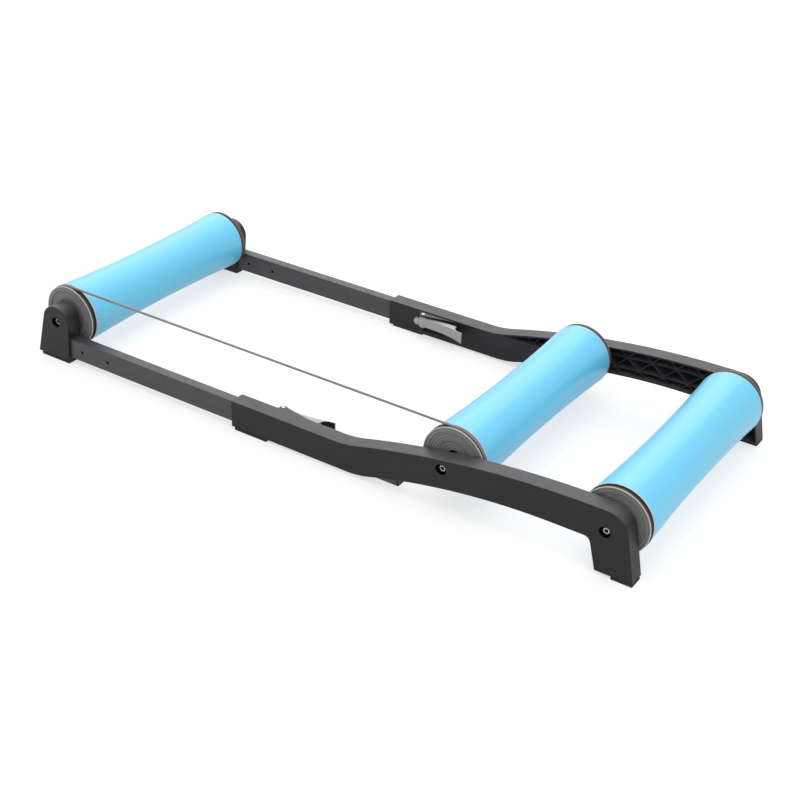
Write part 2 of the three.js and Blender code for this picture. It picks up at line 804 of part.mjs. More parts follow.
// Rubber pad that starts at X zero, under an arm or a bracket
function pad(length) {
  const width = armDepth - padRecess;
  return new THREE.BoxGeometry(length, width, padThickness).translate(length / 2, 0, padThickness / 2);
}

// One side of the frame, built for the right side and mirrored for the left
function sideOfFrame(side) {
  const group = new THREE.Group();
  const place = (mesh, x, y, z) => {
    mesh.position.set(x, y, z);
    group.add(mesh);
  };
  const railMiddleY = (railInnerY + railOuterY) / 2;
  const railMiddleZ = railBase + railHeight / 2;
  const padY = frameHalfWidth - (armDepth - padRecess) / 2;
  const shoeY = (leverY + camRadius + camOffset + railInnerY) / 2;
  const tackX = frontAxleX + tackAhead;

  place(named(`side_arm_${side}`, sideArm(), "arm"), middleAxleX, 0, 0);
  place(named(`rail_${side}`, rail(), "rail"), railFrontX, railMiddleY, railMiddleZ);
  place(named(`rail_plug_${side}`, railPlug(), "arm"), railRearX + fitGap, railMiddleY, railMiddleZ);
  place(named(`front_bracket_${side}`, frontBracket(), "arm"), frontAxleX, 0, 0);
  place(named(`bracket_screw_${side}`, tackScrew(), "steel"), tackX, armInnerY - fitGap, railMiddleZ);
  place(named(`clamp_lever_${side}`, clampLever(), "lever"), leverX, leverY, 0);
  place(named(`clamp_pin_${side}`, clampPin(), "steel"), leverX, leverY, 0);
  place(named(`clamp_shoe_${side}`, clampShoe(), "rubber"), leverX, shoeY, leverBase + leverHeight / 2);

  const bracketPadLength = bracketFrontReach + bracketRearReach - bracketPadInset;
  const bracketPadX = frontAxleX - bracketFrontReach + bracketPadInset;
  const sleevePadX = middleAxleX - sleeveReach + sleevePadInset;
  const footPadX = rearAxleX + legRearReach - footPadLength;
  place(named(`bracket_pad_${side}`, pad(bracketPadLength), "rubber"), bracketPadX, padY, 0);
  place(named(`sleeve_pad_${side}`, pad(sleevePadLength), "rubber"), sleevePadX, padY, 0);
  place(named(`foot_pad_${side}`, pad(footPadLength), "rubber"), footPadX, padY, 0);

  for (const [which, x] of [
    ["front", frontAxleX],
    ["middle", middleAxleX],
    ["rear", rearAxleX],
  ]) {
    const raceY = axleHalfLength - bearingWidth;
    place(named(`${which}_axle_screw_${side}`, axleScrew(), "steel"), x, screwSeatY + fitGap, axleHeight);
    place(named(`${which}_inner_race_${side}`, innerRace(), "steel"), x, raceY, axleHeight);
    place(named(`${which}_outer_race_${side}`, outerRace(), "steel"), x, raceY, axleHeight);
    place(named(`${which}_end_cap_${side}`, endCap(), "cap"), x, 0, axleHeight);
  }
  return group;
}

const rollers = new THREE.Group();
const rightSide = sideOfFrame("right");
const leftSide = sideOfFrame("left");
leftSide.scale.y = -1;
rollers.add(rightSide, leftSide);

for (const [which, x] of [
  ["front", frontAxleX],
  ["middle", middleAxleX],
  ["rear", rearAxleX],
]) {
  const drumMesh = named(`${which}_drum`, drum(), "drum");
  const axleMesh = named(`${which}_axle`, axle(), "steel");
  for (const mesh of [drumMesh, axleMesh]) {
    mesh.position.set(x, 0, axleHeight);
    rollers.add(mesh);
  }
}

const belt = named("drive_belt", driveBelt(), "belt");
belt.position.set(0, -grooveCentre, axleHeight);
rollers.add(belt);

export default rollers;
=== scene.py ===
"""Looks of the bike rollers: three waisted drums in a frame whose front half slides.

Metres, +Z up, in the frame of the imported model: the front drum lies towards -X and the left side
is -Y. Each piece is shaped with bmesh operators for the right side, and mirrored for the left.
"""

import json
import logging
import math
from collections.abc import Callable, Iterable
from dataclasses import dataclass, field
from enum import Enum
from functools import cached_property

import bmesh
import bpy
from mathutils import Matrix, Vector


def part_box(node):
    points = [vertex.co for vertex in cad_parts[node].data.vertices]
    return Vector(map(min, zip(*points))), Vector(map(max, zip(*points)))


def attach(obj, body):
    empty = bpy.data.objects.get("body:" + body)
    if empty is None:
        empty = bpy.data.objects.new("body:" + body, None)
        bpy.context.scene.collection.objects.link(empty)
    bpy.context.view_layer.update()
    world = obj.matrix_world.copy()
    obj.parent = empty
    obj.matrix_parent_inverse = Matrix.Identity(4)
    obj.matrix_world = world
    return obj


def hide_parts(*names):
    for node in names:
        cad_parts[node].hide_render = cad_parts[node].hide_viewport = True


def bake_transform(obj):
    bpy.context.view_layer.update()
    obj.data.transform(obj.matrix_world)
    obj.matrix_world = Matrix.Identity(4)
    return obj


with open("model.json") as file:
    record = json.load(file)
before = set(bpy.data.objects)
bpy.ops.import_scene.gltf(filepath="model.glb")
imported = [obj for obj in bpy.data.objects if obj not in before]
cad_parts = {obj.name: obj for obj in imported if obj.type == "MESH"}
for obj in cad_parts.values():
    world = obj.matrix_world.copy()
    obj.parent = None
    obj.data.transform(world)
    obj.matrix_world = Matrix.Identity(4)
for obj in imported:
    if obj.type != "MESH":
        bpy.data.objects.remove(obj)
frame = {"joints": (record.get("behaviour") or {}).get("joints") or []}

log = logging.getLogger("bike_rollers")

TINY = 1e-6
STRAIGHT_SHARE = 0.999
NOISE_RANGE = (0.3, 0.7)
CORNER_RANGE = (0.995, 0.90)
Colour = tuple[float, float, float]
Point = tuple[float, float]
Place = Vector | tuple[float, float, float]
Edge = bmesh.types.BMEdge
Vert = bmesh.types.BMVert
Socket = bpy.types.NodeSocket


class Side(Enum):
    """The two sides of the machine, with the sign of their Y."""

    LEFT = -1.0
    RIGHT = 1.0

    @property
    def label(self) -> str:
        """The side's word in node names."""
        return self.name.lower()


class Axle(Enum):
    """The three axles, by the word that their nodes start with."""

    FRONT = "front"
    MIDDLE = "middle"
    REAR = "rear"

    @property
    def carrier(self) -> str:
        """The body that holds this axle still."""
        return "front_carriage" if self is Axle.FRONT else "frame"


class Plane(Enum):
    """Where an outline's two directions lie, and the one that it gets its thickness along."""

    SIDE = ((1, 0, 0), (0, 0, 1), (0, 1, 0))
    TOP = ((1, 0, 0), (0, 1, 0), (0, 0, 1))
    END = ((0, 0, 1), (1, 0, 0), (0, 1, 0))

    @property
    def turn(self) -> Matrix:
        """The matrix from the outline's own directions to the object's."""
        return Matrix(self.value).to_4x4()


# Drawing outlines


class Pen:
    """Draws a closed outline on a flat plane, with one bmesh operator for each stroke."""

    def __init__(self, across: float, up: float) -> None:
        """Puts the pen down.

        Args:
            across: The first point's place along the plane's first direction.
            up: Its place along the second direction.
        """
        self.bm = bmesh.new()
        self.first = bmesh.ops.create_vert(self.bm, co=(across, up, 0.0))["vert"][0]
        self.tip = self.first

    def line(self, across: float, up: float) -> "Pen":
        """Draws a straight line.

        Args:
            across: The line's end along the first direction.
            up: Its end along the second direction.

        Returns:
            The pen.
        """
        grown = bmesh.ops.extrude_vert_indiv(self.bm, verts=[self.tip])
        self.tip = grown["verts"][0]
        self.tip.co = (across, up, 0.0)
        return self

    def lines(self, points: Iterable[Point]) -> "Pen":
        """Draws straight lines through some points.

        Args:
            points: The points, in order.

        Returns:
            The pen.
        """
        for across, up in points:
            self.line(across, up)
        return self

    def arc(self, across: float, up: float, degrees: float, steps: int = 8) -> "Pen":
        """Draws an arc about a centre.

        Args:
            across: The centre's place along the first direction.
            up: Its place along the second direction.
            degrees: How far the arc turns, anticlockwise if positive.
            steps: How many straight pieces it has.

        Returns:
            The pen.
        """
        grown = bmesh.ops.spin(
            self.bm,
            geom=[self.tip],
            cent=(across, up, 0.0),
            axis=(0.0, 0.0, 1.0),
            angle=math.radians(degrees),
            steps=steps,
        )
        self.tip = next(item for item in grown["geom_last"] if isinstance(item, Vert))
        return self

    def sweep(self, via: Point, end: Point, steps: int = 10) -> "Pen":
        """Draws a smooth curve that leaves towards one point and ends at another.

        Args:
            via: The point that both ends of the curve head for.
            end: Where the curve ends.
            steps: How many straight pieces it has.

        Returns:
            The pen.
        """
        start = self.tip.co.xy
        for step in range(1, steps + 1):
            share = step / steps
            near = start.lerp(Vector(via), share)
            far = Vector(via).lerp(Vector(end), share)
            self.line(*near.lerp(far, share))
        return self

    def close(self) -> "Pen":
        """Joins the last point to the first."""
        if (self.tip.co - self.first.co).length < TINY:
            bmesh.ops.pointmerge(self.bm, verts=[self.tip, self.first], merge_co=self.first.co)
        else:
            self.bm.edges.new((self.tip, self.first))
        return self


def rounded_rectangle(low: Point, high: Point, radius: float, steps: int = 5) -> Pen:
    """Draws a rectangle with round corners.

    Args:
        low: Its lowest corner.
        high: Its highest corner.
        radius: The corners' radius.
        steps: How many straight pieces each corner has.

    Returns:
        The closed outline.
    """
    pen = Pen(low[0] + radius, low[1])
    pen.line(high[0] - radius, low[1]).arc(high[0] - radius, low[1] + radius, 90, steps)
    pen.line(high[0], high[1] - radius).arc(high[0] - radius, high[1] - radius, 90, steps)
    pen.line(low[0] + radius, high[1]).arc(low[0] + radius, high[1] - radius, 90, steps)
    pen.line(low[0], low[1] + radius).arc(low[0] + radius, low[1] + radius, 90, steps)
    return pen.close()


def polar(degrees: float, radius: float) -> Vector:
    """Finds a point of a circle about the origin, from its angle and radius."""
    turn = math.radians(degrees)
    return Vector((math.cos(turn), math.sin(turn))) * radius


def rise_angle(reach: float, radius: float) -> float:
    """Finds the angle of the point on an arc's left half that lies a reach from its centre."""
    return math.degrees(math.pi - math.acos(reach / radius))


def arc_height(centre: Point, radius: float, across: float) -> float:
    """Finds how high an arc's upper half is over a place."""
    return centre[1] + math.sqrt(radius**2 - (centre[0] - across) ** 2)


def touch_angle(across: float, up: float, radius: float, side: int) -> float:
    """Finds the angle, on side 1 or -1, where a line from a point touches a centred circle."""
    swing = math.acos(radius / math.hypot(across, up))
    return math.degrees(math.atan2(up, across) + side * swing)


# Solid bodies


class Solid:
    """A closed body under work, shaped with bmesh operators."""

    def __init__(self, bm: bmesh.types.BMesh | None = None) -> None:
        """Takes over a bmesh, or starts with an empty one."""
        self.bm = bm or bmesh.new()

    @classmethod
    def prism(cls, pen: Pen, plane: Plane, near: float, far: float, inset: float = 0.0) -> "Solid":
        """Gives an outline its thickness.

        Args:
            pen: The closed outline, which is used up.
            plane: The plane that it lies in.
            near: Where the body starts, along the plane's third direction.
            far: Where it ends.
            inset: How far the outline is drawn in first.

        Returns:
            The body.
        """
        bm = pen.bm
        face = bmesh.ops.contextual_create(bm, geom=bm.edges[:])["faces"][0]
        if inset:
            ring = bmesh.ops.inset_individual(
                bm, faces=[face], thickness=inset, use_even_offset=True
            )
            bmesh.ops.delete(bm, geom=ring["faces"], context="FACES")
        bmesh.ops.translate(bm, verts=bm.verts, vec=(0.0, 0.0, near))
        grown = bmesh.ops.extrude_face_region(bm, geom=bm.faces[:])["geom"]
        lifted = [item for item in grown if isinstance(item, Vert)]
        bmesh.ops.translate(bm, verts=lifted, vec=(0.0, 0.0, far - near))
        bmesh.ops.transform(bm, matrix=plane.turn, verts=bm.verts)
        return cls(bm).outward()

    @classmethod
    def box(cls, low: Place, high: Place) -> "Solid":
        """Makes a box between two corners.

        Args:
            low: Its lowest corner.
            high: Its highest corner.

        Returns:
            The body.
        """
        low, high = Vector(low), Vector(high)
        bm = bmesh.new()
        size = Matrix.Diagonal((high - low).to_4d())
        size[3][3] = 1.0
        bmesh.ops.create_cube(bm, size=1.0, matrix=Matrix.Translation((low + high) / 2) @ size)
        return cls(bm)

    @classmethod
    def bar(cls, radius: float, start: Place, end: Place, sides: int = 48) -> "Solid":
        """Makes a round bar between two points.

        Args:
            radius: Its radius.
            start: The middle of one end.
            end: The middle of the other end.
            sides: How many flats it has.

        Returns:
            The body.
        """
        start, end = Vector(start), Vector(end)
        run = end - start
        bm = bmesh.new()
        turn = run.to_track_quat("Z", "X").to_matrix().to_4x4()
        place = Matrix.Translation((start + end) / 2) @ turn
        bmesh.ops.create_cone(
            bm,
            cap_ends=True,
            segments=sides,
            radius1=radius,
            radius2=radius,
            depth=run.length,
            matrix=place,
        )
        return cls(bm)

    @classmethod
    def crossbar(
        cls, radius: float, centre: Point, near: float, far: float, sides: int = 48
    ) -> "Solid":
        """Makes a round bar along Y, from near to far, about a place along X and Z."""
        x, z = centre
        return cls.bar(radius, (x, near, z), (x, far, z), sides)

    @classmethod
    def turned(cls, pen: Pen, centre: Place, steps: int = 64, upright: bool = False) -> "Solid":
        """Spins a profile of radius and place along the axis.

        Args:
            pen: The closed profile, which is used up.
            centre: Where the axis and the profile's zero are.
            steps: How many steps the turn has.
            upright: Whether the axis stands along Z, rather than lying along Y.

        Returns:
            The body.
        """
        bm = pen.bm
        bmesh.ops.spin(
            bm,
            geom=bm.verts[:] + bm.edges[:],
            cent=(0.0, 0.0, 0.0),
            axis=(0.0, 1.0, 0.0),
            angle=math.tau,
            steps=steps,
            use_merge=True,
        )
        bmesh.ops.remove_doubles(bm, verts=bm.verts, dist=TINY)
        bmesh.ops.dissolve_degenerate(bm, edges=bm.edges, dist=TINY)
        loose = [edge for edge in bm.edges if not edge.link_faces]
        bmesh.ops.delete(bm, geom=loose, context="EDGES")
        stand = Matrix.Rotation(math.radians(90), 4, "X") if upright else Matrix.Identity(4)
        bmesh.ops.transform(bm, matrix=Matrix.Translation(centre) @ stand, verts=bm.verts)
        return cls(bm).outward()

    @classmethod
    def gathered(cls, solids: Iterable["Solid"]) -> "Solid":
        """Puts several bodies in one, without joining them.

        Args:
            solids: The bodies, which are used up.

        Returns:
            One body that holds them all.
        """
        whole = bmesh.new()
        for one in solids:
            part = bpy.data.meshes.new("part")
            one.bm.to_mesh(part)
            one.bm.free()
            whole.from_mesh(part)
            bpy.data.meshes.remove(part)
        return cls(whole)

    def outward(self) -> "Solid":
        """Turns the faces outwards."""
        bmesh.ops.recalc_face_normals(self.bm, faces=self.bm.faces)
        return self

    def moved(self, x: float = 0.0, y: float = 0.0, z: float = 0.0) -> "Solid":
        """Moves the body along X, Y and Z, and hands it back."""
        bmesh.ops.translate(self.bm, verts=self.bm.verts, vec=(x, y, z))
        return self

    def mirrored(self) -> "Solid":
        """Makes the other side's copy of the body.

        Returns:
            The copy.
        """
        other = self.bm.copy()
        bmesh.ops.scale(other, verts=other.verts, vec=(1.0, -1.0, 1.0))
        bmesh.ops.reverse_faces(other, faces=other.faces)
        return Solid(other)

    def on(self, side: Side) -> "Solid":
        """Copies a body that was made for the right side onto either side."""
        return Solid(self.bm.copy()) if side is Side.RIGHT else self.mirrored()

    def rounded(self, chosen: Callable[[Edge], bool], width: float, segments: int = 3) -> "Solid":
        """Rounds some of the edges.

        Args:
            chosen: Says whether an edge is rounded.
            width: How far the rounding reaches from the edge.
            segments: How many flats it has.

        Returns:
            The same body.
        """
        edges = [edge for edge in self.bm.edges if chosen(edge)]
        bmesh.ops.bevel(
            self.bm,
            geom=edges,
            offset=width,
            offset_type="OFFSET",
            affect="EDGES",
            segments=segments,
            profile=0.5,
            clamp_overlap=True,
            material=-1,
        )
        return self

    def _as_object(self, name: str) -> bpy.types.Object:
        """Puts the body in the scene for a moment.

        Args:
            name: Its name there.

        Returns:
            Its object.
        """
        mesh = bpy.data.meshes.new(name)
        self.bm.to_mesh(mesh)
        made = bpy.data.objects.new(name, mesh)
        bpy.context.scene.collection.objects.link(made)
        return made

    def _combined(self, other: "Solid", operation: str) -> "Solid":
        """Joins, cuts or limits the body with another one.

        Args:
            other: The other body, which is used up.
            operation: UNION, DIFFERENCE or INTERSECT.

        Returns:
            The new body; this one is used up.
        """
        body, tool = self._as_object("body"), other._as_object("tool")
        step = body.modifiers.new("step", "BOOLEAN")
        step.operation = operation
        step.solver = "EXACT"
        step.use_self = True
        step.object = tool
        ready = body.evaluated_get(bpy.context.evaluated_depsgraph_get())
        mesh = bpy.data.meshes.new_from_object(ready)
        made = bmesh.new()
        made.from_mesh(mesh)
        for used in (body, tool):
            data = used.data
            bpy.data.objects.remove(used)
            bpy.data.meshes.remove(data)
        bpy.data.meshes.remove(mesh)
        bmesh.ops.remove_doubles(made, verts=made.verts, dist=TINY)
        bmesh.ops.dissolve_degenerate(made, edges=made.edges, dist=TINY)
        self.bm.free()
        other.bm.free()
        return Solid(made)

    def join(self, *others: "Solid") -> "Solid":
        """Fuses other bodies to this one."""
        return self._combined(Solid.gathered(others), "UNION")

    def cut(self, *others: "Solid") -> "Solid":
        """Cuts other bodies out of this one."""
        return self._combined(Solid.gathered(others), "DIFFERENCE")

    def keep(self, other: "Solid") -> "Solid":
        """Keeps only what lies inside another body."""
        return self._combined(other, "INTERSECT")


def is_sharp(edge: Edge, degrees: float = 35.0) -> bool:
    """Tells whether an edge is a corner, rather than part of a round face."""
    return len(edge.link_faces) == 2 and edge.calc_face_angle(0.0) > math.radians(degrees)


def lies_at(edge: Edge, axis: int, place: float) -> bool:
    """Tells whether both ends of an edge have the same place along an axis."""
    return all(abs(vert.co[axis] - place) < TINY for vert in edge.verts)


def runs_along(edge: Edge, axis: int) -> bool:
    """Tells whether an edge runs along an axis."""
    run = edge.verts[1].co - edge.verts[0].co
    return abs(run[axis]) > STRAIGHT_SHARE * run.length


# Finishes


class Bench:
    """A material's nodes, with short calls for the ones that the finishes use."""

    def __init__(self, name: str, centre: Vector | None = None) -> None:
        """Starts a material.

        Args:
            name: The material's name.
            centre: The point that its pattern is centred on, or none.
        """
        self.material = bpy.data.materials.new(name)
        self.material.use_nodes = True
        self.tree = self.material.node_tree
        self.shader = self.tree.nodes["Principled BSDF"]
        self.place = self.node("ShaderNodeTexCoord").outputs["Object"]
        if centre is not None:
            shift = self.node("ShaderNodeMapping", {"Vector": self.place, "Location": -centre})
            self.place = shift.outputs["Vector"]

    @cached_property
    def parts(self) -> bpy.types.bpy_prop_collection:
        """The place's own X, Y and Z, each as a socket."""
        return self.node("ShaderNodeSeparateXYZ", {"Vector": self.place}).outputs

    def node(self, kind: str, inputs: dict | None = None, **settings: object) -> bpy.types.Node:
        """Adds a node.

        Args:
            kind: Blender's name for it.
            inputs: What feeds its inputs: sockets or plain values, by name or number.
            **settings: Its own settings.

        Returns:
            The node.
        """
        made = self.tree.nodes.new(kind)
        for key, value in settings.items():
            setattr(made, key, value)
        for key, value in (inputs or {}).items():
            if isinstance(value, Socket):
                self.tree.links.new(value, made.inputs[key])
            else:
                made.inputs[key].default_value = value
        return made

    def math(self, operation: str, *values: object) -> Socket:
        """Works out a number from one or two others."""
        made = self.node("ShaderNodeMath", dict(enumerate(values)), operation=operation)
        return made.outputs[0]

    def apart(self, value: Socket, place: object) -> Socket:
        """Works out how far a value is from a place, a socket or a plain value."""
        return self.math("ABSOLUTE", self.math("SUBTRACT", value, place))

    def length(self, first: Socket, second: Socket) -> Socket:
        """Works out the length of a line from its two square parts."""
        flat = self.node("ShaderNodeCombineXYZ", {"X": first, "Y": second}).outputs["Vector"]
        return self.node("ShaderNodeVectorMath", {0: flat}, operation="LENGTH").outputs["Value"]

    def facing(self, axis: str) -> Socket:
        """Tells how far the bare surface faces along X, Y or Z, from -1 to 1."""
        normal = self.node("ShaderNodeNewGeometry").outputs["True Normal"]
        return self.node("ShaderNodeSeparateXYZ", {"Vector": normal}).outputs[axis]

    def noise(self, scale: float, detail: float = 2.0, stretch: tuple | None = None) -> Socket:
        """Makes soft random spots.

        Args:
            scale: How many spots there are to a metre.
            detail: How rough their edges are.
            stretch: How much closer they lie along X, Y and Z, or none.

        Returns:
            Their value, from 0 to 1.
        """
        place = self.place
        if stretch is not None:
            drawn = self.node("ShaderNodeMapping", {"Vector": place, "Scale": stretch})
            place = drawn.outputs["Vector"]
        inputs = {"Vector": place, "Scale": scale, "Detail": detail}
        return self.node("ShaderNodeTexNoise", inputs).outputs["Fac"]

    def lines(self, along: Socket, per_metre: float) -> Socket:
        """Makes random fine lines, square to the direction that a place is measured along."""
        inputs = {"W": along, "Scale": per_metre, "Detail": 3.0}
        return self.node("ShaderNodeTexNoise", inputs, noise_dimensions="1D").outputs["Fac"]

    def span(
        self, value: Socket, low: float, high: float, least: float = 0.0, most: float = 1.0
    ) -> Socket:
        """Spreads a value over another range.

        Args:
            value: The value.
            low: Where the old range starts.
            high: Where it ends.
            least: Where the new range starts.
            most: Where it ends.

        Returns:
            The new value.
        """
        inputs = {
            "Value": value,
            "From Min": low,
            "From Max": high,
            "To Min": least,
            "To Max": most,
        }
        return self.node("ShaderNodeMapRange", inputs).outputs["Result"]

    def varied(self, pattern: Socket, middle: float, less: float, more: float) -> Socket:
        """Lets a value vary with a pattern, from less below its middle to more above it."""
        return self.span(pattern, *NOISE_RANGE, middle - less, middle + more)

    def mixed(self, share: object, first: object, second: object) -> Socket:
        """Mixes two colours, each a socket or a plain colour.

        Args:
            share: How much of the second one there is, from 0 to 1.
            first: The first colour.
            second: The second colour.

        Returns:
            The mixed colour.
        """
        colours = [(*c, 1.0) if isinstance(c, tuple) else c for c in (first, second)]
        inputs = {0: share, 6: colours[0], 7: colours[1]}
        return self.node("ShaderNodeMix", inputs, data_type="RGBA").outputs[2]

    def bumped(self, height: Socket, depth: float, normal: Socket | None = None) -> Socket:
        """Raises the surface by a height map.

        Args:
            height: The height, from 0 to 1.
            depth: How deep the map is, in metres.
            normal: A normal to start from, or none.

        Returns:
            The new normal.
        """
        inputs = {"Height": height, "Distance": depth, "Strength": 1.0}
        if normal is not None:
            inputs["Normal"] = normal
        return self.node("ShaderNodeBump", inputs).outputs["Normal"]

    def edges(self, radius: float) -> tuple[Socket, Socket]:
        """Softens the corners and finds them.

        Args:
            radius: How far the softening reaches.

        Returns:
            The softened normal, and a value that is 1 at corners and 0 away from them.
        """
        soft = self.node("ShaderNodeBevel", {"Radius": radius}, samples=4).outputs["Normal"]
        plain = self.node("ShaderNodeNewGeometry").outputs["Normal"]
        alike = self.node("ShaderNodeVectorMath", {0: soft, 1: plain}, operation="DOT_PRODUCT")
        return soft, self.span(alike.outputs["Value"], *CORNER_RANGE)

    def wear(self, corner: Socket, scale: float, share: float) -> Socket:
        """Breaks up the corners into worn spots, as many to a metre as the scale says."""
        spots = self.span(self.noise(scale, 5.0), 0.42, 0.62, 0.0, share)
        return self.math("MULTIPLY", corner, spots)

    def feed(self, **inputs: object) -> bpy.types.Material:
        """Feeds the shader.

        Args:
            **inputs: Sockets or plain values, by the input's name in small letters.

        Returns:
            The finished material.
        """
        for key, value in inputs.items():
            name = " ".join("IOR" if word == "ior" else word.title() for word in key.split("_"))
            if isinstance(value, Socket):
                self.tree.links.new(value, self.shader.inputs[name])
            elif isinstance(value, tuple):
                self.shader.inputs[name].default_value = (*value, 1.0)
            else:
                self.shader.inputs[name].default_value = value
        return self.material


@dataclass(frozen=True)
class Finish:
    """What every finish has: a name, its slot in the record and its colour."""

    name: str
    slot: str
    colour: Colour

    def tinted(self, factor: float) -> Colour:
        """The finish's colour, made darker or lighter."""
        return tuple(min(1.0, part * factor) for part in self.colour)

    def material(self, centre: Vector | None = None) -> bpy.types.Material:
        """Makes the material, or finds the one made before.

        Args:
            centre: The middle of a round piece, for finishes with rings about it.

        Returns:
            The material.
        """
        name = self.name if centre is None else f"{self.name}_{round(centre.x * 1000)}"
        return bpy.data.materials.get(name) or self.dress(Bench(name, centre))

    def dress(self, bench: Bench) -> bpy.types.Material:
        """Makes the material on a bench; each finish has its own way."""
        raise NotImplementedError


@dataclass(frozen=True)
class Moulding(Finish):
    """Satin plastic from a mould: grain, rubbed corners, a dusting and painted sheen on top, and
    painted shade in the screw recesses.
    """

    rubbed: Colour = (0.085, 0.085, 0.088)
    # A dusting and a painted sheen: the lighter colour of upward faces, as if lit from above.
    dust: Colour = (0.088, 0.086, 0.092)
    # Painted shade: the near-black colour deep in the screw recesses.
    dirt: Colour = (0.004, 0.004, 0.004)
    dusty_facing: Point = (0.55, 0.97)
    recess_radius: float = 0.0096
    recess_face: float = 0.2430
    recess_fade: float = 0.003
    recess_edge: float = 0.0003
    roughness: float = 0.44
    shine: float = 0.24
    grain: float = 1500.0
    grain_depth: float = 0.00003
    corner: float = 0.0009

    def dress(self, bench: Bench) -> bpy.types.Material:
        """Makes the material.

        Args:
            bench: Its bench.

        Returns:
            The material.
        """
        soft, corner = bench.edges(self.corner)
        worn = bench.wear(corner, scale=260.0, share=0.45)
        patches = bench.span(bench.noise(14.0, 3.0), 0.35, 0.65)
        mottled = bench.mixed(patches, self.tinted(0.78), self.colour)
        rough = bench.varied(bench.noise(32.0, 4.0), self.roughness, less=0.05, more=0.06)
        # A dusting and painted sheen: upward faces are lighter, standing in for light that falls
        # on the tops.
        dusting_and_sheen_spots = bench.span(bench.noise(55.0, 5.0), *NOISE_RANGE, 0.75, 1.0)
        upward = bench.span(bench.facing("Z"), *self.dusty_facing)
        paler = bench.math("MULTIPLY", dusting_and_sheen_spots, upward)
        # Painted shade in the screw recesses; metallic on their near-black colour takes away the
        # shine.
        darkened = self.recesses(bench)
        surface = bench.mixed(worn, bench.mixed(paler, mottled, self.dust), self.rubbed)
        return bench.feed(
            base_color=bench.mixed(darkened, surface, self.dirt),
            roughness=bench.math("SUBTRACT", rough, bench.math("MULTIPLY", worn, 0.2)),
            metallic=darkened,
            specular_ior_level=self.shine,
            normal=bench.bumped(bench.noise(self.grain), self.grain_depth, soft),
        )

    def recesses(self, bench: Bench) -> Socket:
        """Finds the recesses of the axle screws, where shade is painted and nothing shines.

        Args:
            bench: The material's bench.

        Returns:
            A value that is 1 deep in a recess, and 0 outside all of them.
        """
        centres = [middle_of(f"{axle.value}_axle") for axle in Axle]
        apart = [bench.apart(bench.parts["X"], centre.x) for centre in centres]
        nearest = bench.math("MINIMUM", apart[0], bench.math("MINIMUM", apart[1], apart[2]))
        rise = bench.math("SUBTRACT", bench.parts["Z"], centres[-1].z)
        radius = bench.length(nearest, rise)
        depth = bench.math("ABSOLUTE", bench.parts["Y"])
        return bench.math(
            "MULTIPLY",
            bench.span(radius, self.recess_radius, self.recess_radius - self.recess_edge),
            bench.span(depth, self.recess_face, self.recess_face - self.recess_fade),
        )


@dataclass(frozen=True)
class Paint(Finish):
    """Powder paint on steel tube: orange peel, lengthwise rub marks and thin corners."""

    marks: Colour = (0.19, 0.19, 0.195)
    bare: Colour = (0.42, 0.42, 0.43)
    roughness: float = 0.42
    peel: float = 620.0
    peel_depth: float = 0.00004
    corner: float = 0.0008

    def dress(self, bench: Bench) -> bpy.types.Material:
        """Makes the material.

        Args:
            bench: Its bench.

        Returns:
            The material.
        """
        soft, corner = bench.edges(self.corner)
        worn = bench.wear(corner, scale=300.0, share=0.3)
        lengthwise = bench.noise(34.0, 5.0, stretch=(0.7, 14.0, 14.0))
        rubbed = bench.span(lengthwise, 0.58, 0.80, 0.0, 0.10)
        tone = bench.mixed(bench.noise(9.0, 3.0), self.tinted(0.85), self.colour)
        return bench.feed(
            base_color=bench.mixed(worn, bench.mixed(rubbed, tone, self.marks), self.bare),
            roughness=bench.varied(bench.noise(60.0, 4.0), self.roughness, less=0.05, more=0.08),
            metallic=bench.math("MULTIPLY", worn, 0.8),
            normal=bench.bumped(bench.noise(self.peel), self.peel_depth, soft),
        )


@dataclass(frozen=True)
class Gloss(Finish):
    """Glossy plastic tube: faint turning lines, and a fine haze along the tyre's track."""

    haze: Colour = (0.25, 0.70, 0.94)
    roughness: float = 0.40
    track: float = 0.070
    turning: float = 900.0
    turning_depth: float = 0.000004

    def dress(self, bench: Bench) -> bpy.types.Material:
        """Makes the material.

        Args:
            bench: Its bench.

        Returns:
            The material.
        """
        along = bench.parts["Y"]
        turning = bench.lines(along, self.turning)
        in_track = bench.span(bench.math("ABSOLUTE", along), self.track, self.track * 0.3)
        streaks = bench.span(bench.lines(along, 700.0), 0.3, 0.8, 0.0, 0.12)
        hazed = bench.math("MULTIPLY", in_track, streaks)
        tone = bench.mixed(bench.noise(5.0), self.tinted(0.95), self.colour)
        rough = bench.varied(turning, self.roughness, less=0.04, more=0.05)
        return bench.feed(
            base_color=bench.mixed(hazed, tone, self.haze),
            roughness=bench.math("ADD", rough, bench.math("MULTIPLY", hazed, 0.5)),
            specular_ior_level=0.4,
            coat_weight=0.3,
            coat_roughness=0.22,
            normal=bench.bumped(turning, self.turning_depth),
        )


